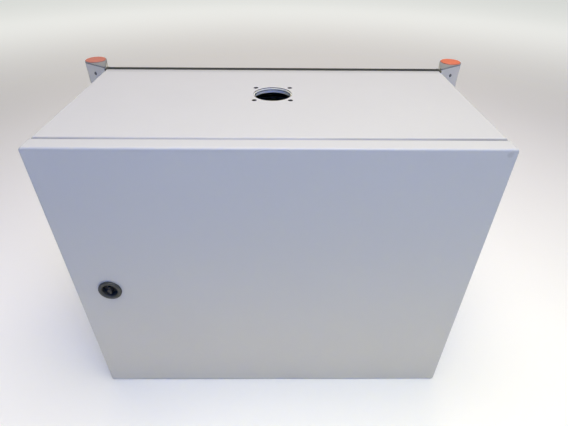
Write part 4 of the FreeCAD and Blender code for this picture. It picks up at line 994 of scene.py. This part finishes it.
def terminal_tags():
    """Blank snap-in tags on the ridges of the terminals."""
    tags = Build()
    front = TERMINALS_LOW.y
    for low, high in solid_boxes("terminal_blocks"):
        x = (low.x + high.x) / 2
        tags.block(
            (x - TAG_HALF_WIDTH, front - TAG_FRONT, TERMINAL_ROW_Z - TAG_HALF_HEIGHT),
            (x + TAG_HALF_WIDTH, front - TAG_BACK, TERMINAL_ROW_Z + TAG_HALF_HEIGHT))
    tags.piece("terminal_tags", "marker_white", "enclosure", slot_of["breaker_cover"])


def device_prints():
    """On mark above each lever, off mark below it, and a blank label field at the foot of each device."""
    marks, labels = Build(), Build()
    on_z, off_z = ROW_Z + MARK_OFFSET, ROW_Z - MARK_OFFSET
    field_low, field_high = (ROW_Z - below for below in FIELD_BELOW)
    for low, high in (corners for node in DEVICES for corners in solid_boxes(node)):
        middle = (low.x + high.x) / 2
        marks.block(
            (middle - MARK_HALF_WIDTH, FRONT_Y - PRINT, on_z - MARK_HALF_HEIGHT),
            (middle + MARK_HALF_WIDTH, FRONT_Y, on_z + MARK_HALF_HEIGHT))
        marks.washer((middle, FRONT_Y, off_z), (0, -1, 0), (1, 0, 0), *OFF_RING, PRINT, 24)
        half = min(FIELD_HALF_WIDTH, (high.x - low.x) / 2 - FIELD_MARGIN)
        labels.block((middle - half, FRONT_Y - PRINT, field_low), (middle + half, FRONT_Y, field_high))
    marks.piece("device_marks", "print_black", "enclosure", slot_of["lock_housing"])
    labels.piece("device_label_fields", "label_white", "enclosure", slot_of["breaker_cover"])


def cover_strip():
    """Blank circuit strip under the window of the inner cover, divided at every module."""
    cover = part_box("breaker_cover")[0]
    left, right = DEVICE_LOW.x, BREAKERS_HIGH.x
    bottom, top = (cover.z + above for above in STRIP_ABOVE)
    face = cover.y - STRIP_THICK
    strip = Build()
    corners = Vector((left, 0, bottom)), Vector((right, 0, top))
    outline = [point for point, _ in rounded_loop(*corners, STRIP_CORNER_R, 5)]
    strip.plate(outline, (0, cover.y, 0), (0, face, 0))
    strip.piece("cover_label_strip", "label_white", "enclosure", slot_of["breaker_cover"])
    lines = Build()
    for k in range(1, round((right - left) / MODULE)):
        x = left + k * MODULE
        lines.block(
            (x - STRIP_LINE_HALF, face - PRINT, bottom + STRIP_LINE_INSET),
            (x + STRIP_LINE_HALF, face, top - STRIP_LINE_INSET))
    lines.piece("cover_strip_lines", "print_black", "enclosure", slot_of["lock_housing"])


terminal_screws()
terminal_tags()
device_prints()
cover_strip()


# ---------------------------------------------------------------- stage, light and camera
FLOOR_Z = BODY_LOW.z
TABLE_HALF = 40.0
TABLE_COLOUR = (0.90, 0.90, 0.88)
GLOW = 0.62
GLOW_COLOUR = (1.0, 1.0, 0.97)
GLOW_START = 1.1
GLOW_FULL = 2.9
HORIZON = (0.06, 0.15, 0.09)
HORIZON_FADE = 0.8
ZENITH = (0.0, 0.0, 0.0)
BACKDROP = (0.70, 0.70, 0.69)
OVERHEAD_POWER = 47.5
OVERHEAD_COLOUR = (1.0, 0.907, 0.772)
WINDOW_POWER = 17.7
WINDOW_COLOUR = (0.01, 0.15, 1.0)
POOL_POWER = 2.9
POOL_COLOUR = (1.0, 1.0, 0.2)
REAR_POWER = 5.2
REAR_COLOUR = (1.0, 0.88, 0.86)
BOUNCE_POWER = 0.39
BOUNCE_COLOUR = (1.0, 0.76, 0.25)
BOUNCE_AHEAD = 0.16

# camera: lens in millimetres, angles in degrees
CAMERA_LENS = 26.06
CAMERA_PITCH = 36.02
CAMERA_YAW = -0.76
CAMERA_ROLL = 0.57
CAMERA_PLACE = Vector((9.3 * MM, DOOR_LOW.y - 366.7 * MM, BODY_LOW.z + 587.8 * MM))


def stage_material():
    """Pale table; far from the box it glows, so that it stays pale to the horizon."""
    look = Look("pale_table", TABLE_COLOUR, 0.6)
    glow = look.band(look.distance((0.0, 0.0, FLOOR_Z)), GLOW_START, GLOW_FULL)
    look.join(look.part(glow, GLOW), look.shader.inputs["Emission Strength"])
    look.shader.inputs["Emission Color"].default_value = (*GLOW_COLOUR, 1.0)
    look.shader.inputs["Specular IOR Level"].default_value = 0.15
    look.shade(look.spread(look.noise(1.5, 3.0), 0.0, 0.4), 0.98)
    look.relief(look.noise(400.0, 2.0), 0.02 * MM)
    return look.done()


def add_stage():
    """Table under the box, out to the horizon."""
    materials["pale_table"] = stage_material()
    signs = ((-1, -1), (1, -1), (1, 1), (-1, 1))
    corners = [(sx * TABLE_HALF, sy * TABLE_HALF, FLOOR_Z) for sx, sy in signs]
    mesh = bpy.data.meshes.new("table_top")
    mesh.from_pydata(corners, [], [(0, 1, 2, 3)])
    table = bpy.data.objects.new("table_top", mesh)
    bpy.context.scene.collection.objects.link(table)
    paint(table, "pale_table")


def area_light(name, place, target, width, height, power, colour, spread=180.0):
    """Rectangular lamp at a place, turned to a target; spread in degrees."""
    data = bpy.data.lights.new(name, "AREA")
    data.shape = "RECTANGLE"
    data.size = width
    data.size_y = height
    data.energy = power
    data.spread = math.radians(spread)
    data.color = colour
    light = bpy.data.objects.new(name, data)
    light.location = place
    light.rotation_euler = (Vector(target) - Vector(place)).to_track_quat("-Z", "Y").to_euler()
    bpy.context.scene.collection.objects.link(light)
    return light


def add_world():
    """Dim room light round the horizon; the camera sees a plain pale wall."""
    world = bpy.data.worlds.new("soft_world")
    bpy.context.scene.world = world
    world.use_nodes = True
    tree = world.node_tree
    background = tree.nodes["Background"]
    coordinates = tree.nodes.new("ShaderNodeTexCoord")
    split = tree.nodes.new("ShaderNodeSeparateXYZ")
    tree.links.new(coordinates.outputs["Generated"], split.inputs[0])
    ramp = tree.nodes.new("ShaderNodeValToRGB")
    tree.links.new(split.outputs["Z"], ramp.inputs["Fac"])
    ramp.color_ramp.elements[0].color = (*HORIZON, 1.0)
    ramp.color_ramp.elements[1].color = (*ZENITH, 1.0)
    ramp.color_ramp.elements[1].position = HORIZON_FADE
    path = tree.nodes.new("ShaderNodeLightPath")
    choose = tree.nodes.new("ShaderNodeMix")
    choose.data_type = "RGBA"
    tree.links.new(path.outputs["Is Camera Ray"], choose.inputs["Factor"])
    tree.links.new(ramp.outputs["Color"], choose.inputs[MIX_COLOUR_A])
    choose.inputs[MIX_COLOUR_B].default_value = (*BACKDROP, 1.0)
    tree.links.new(choose.outputs[MIX_COLOUR_OUT], background.inputs["Color"])


def add_lights():
    """Large lamp overhead, cool window light from the front, light on the table before and behind the box,
    and a low strip for the warm light that the bright table throws on the foot of the door."""
    middle = Vector((0, -0.15, 0))
    behind = 1.6
    area_light("overhead", (0.12, -0.10, 1.9), middle, 1.8, 1.6, OVERHEAD_POWER, OVERHEAD_COLOUR)
    area_light("front_window", (0.2, -1.3, 1.4), middle, 1.2, 0.8, WINDOW_POWER, WINDOW_COLOUR)
    area_light("front_pool", (0.35, -0.95, 1.5), (0.35, -0.85, 0), 1.2, 0.8, POOL_POWER, POOL_COLOUR, 80.0)
    area_light("rear_fill", (0, behind, 1.6), (0, behind, 0), 3.0, 1.2, REAR_POWER, REAR_COLOUR, 120.0)
    low = DOOR_LOW + Vector((WIDTH / 2, -BOUNCE_AHEAD, 0.01))
    foot = (low.x, DOOR_LOW.y, FLOOR_Z + 0.12)
    bounce = area_light("table_bounce", low, foot, 0.9, 0.12, BOUNCE_POWER, BOUNCE_COLOUR)
    bounce.visible_camera = False
    bounce.visible_glossy = False


def add_camera():
    """Camera in front of the box, looking down at it and turned slightly to the left."""
    pitch, yaw, roll = (math.radians(a) for a in (CAMERA_PITCH, CAMERA_YAW, CAMERA_ROLL))
    tilt = Matrix((
        (1, 0, 0),
        (0, math.sin(pitch), math.cos(pitch)),
        (0, math.cos(pitch), -math.sin(pitch))))
    swing = Matrix((
        (math.cos(yaw), math.sin(yaw), 0),
        (-math.sin(yaw), math.cos(yaw), 0),
        (0, 0, 1)))
    lean = Matrix((
        (math.cos(roll), math.sin(roll), 0),
        (-math.sin(roll), math.cos(roll), 0),
        (0, 0, 1)))
    right, up, ahead = lean @ tilt @ swing
    data = bpy.data.cameras.new("camera")
    data.lens = CAMERA_LENS
    data.sensor_width = 36.0
    data.clip_start = 0.02
    camera = bpy.data.objects.new("camera", data)
    turn = Matrix((right, up, -ahead)).transposed().to_4x4()
    camera.matrix_world = Matrix.Translation(CAMERA_PLACE) @ turn
    bpy.context.scene.collection.objects.link(camera)
    bpy.context.scene.camera = camera


add_stage()
add_world()
add_lights()
add_camera()
bpy.context.scene.view_settings.view_transform = "Standard"
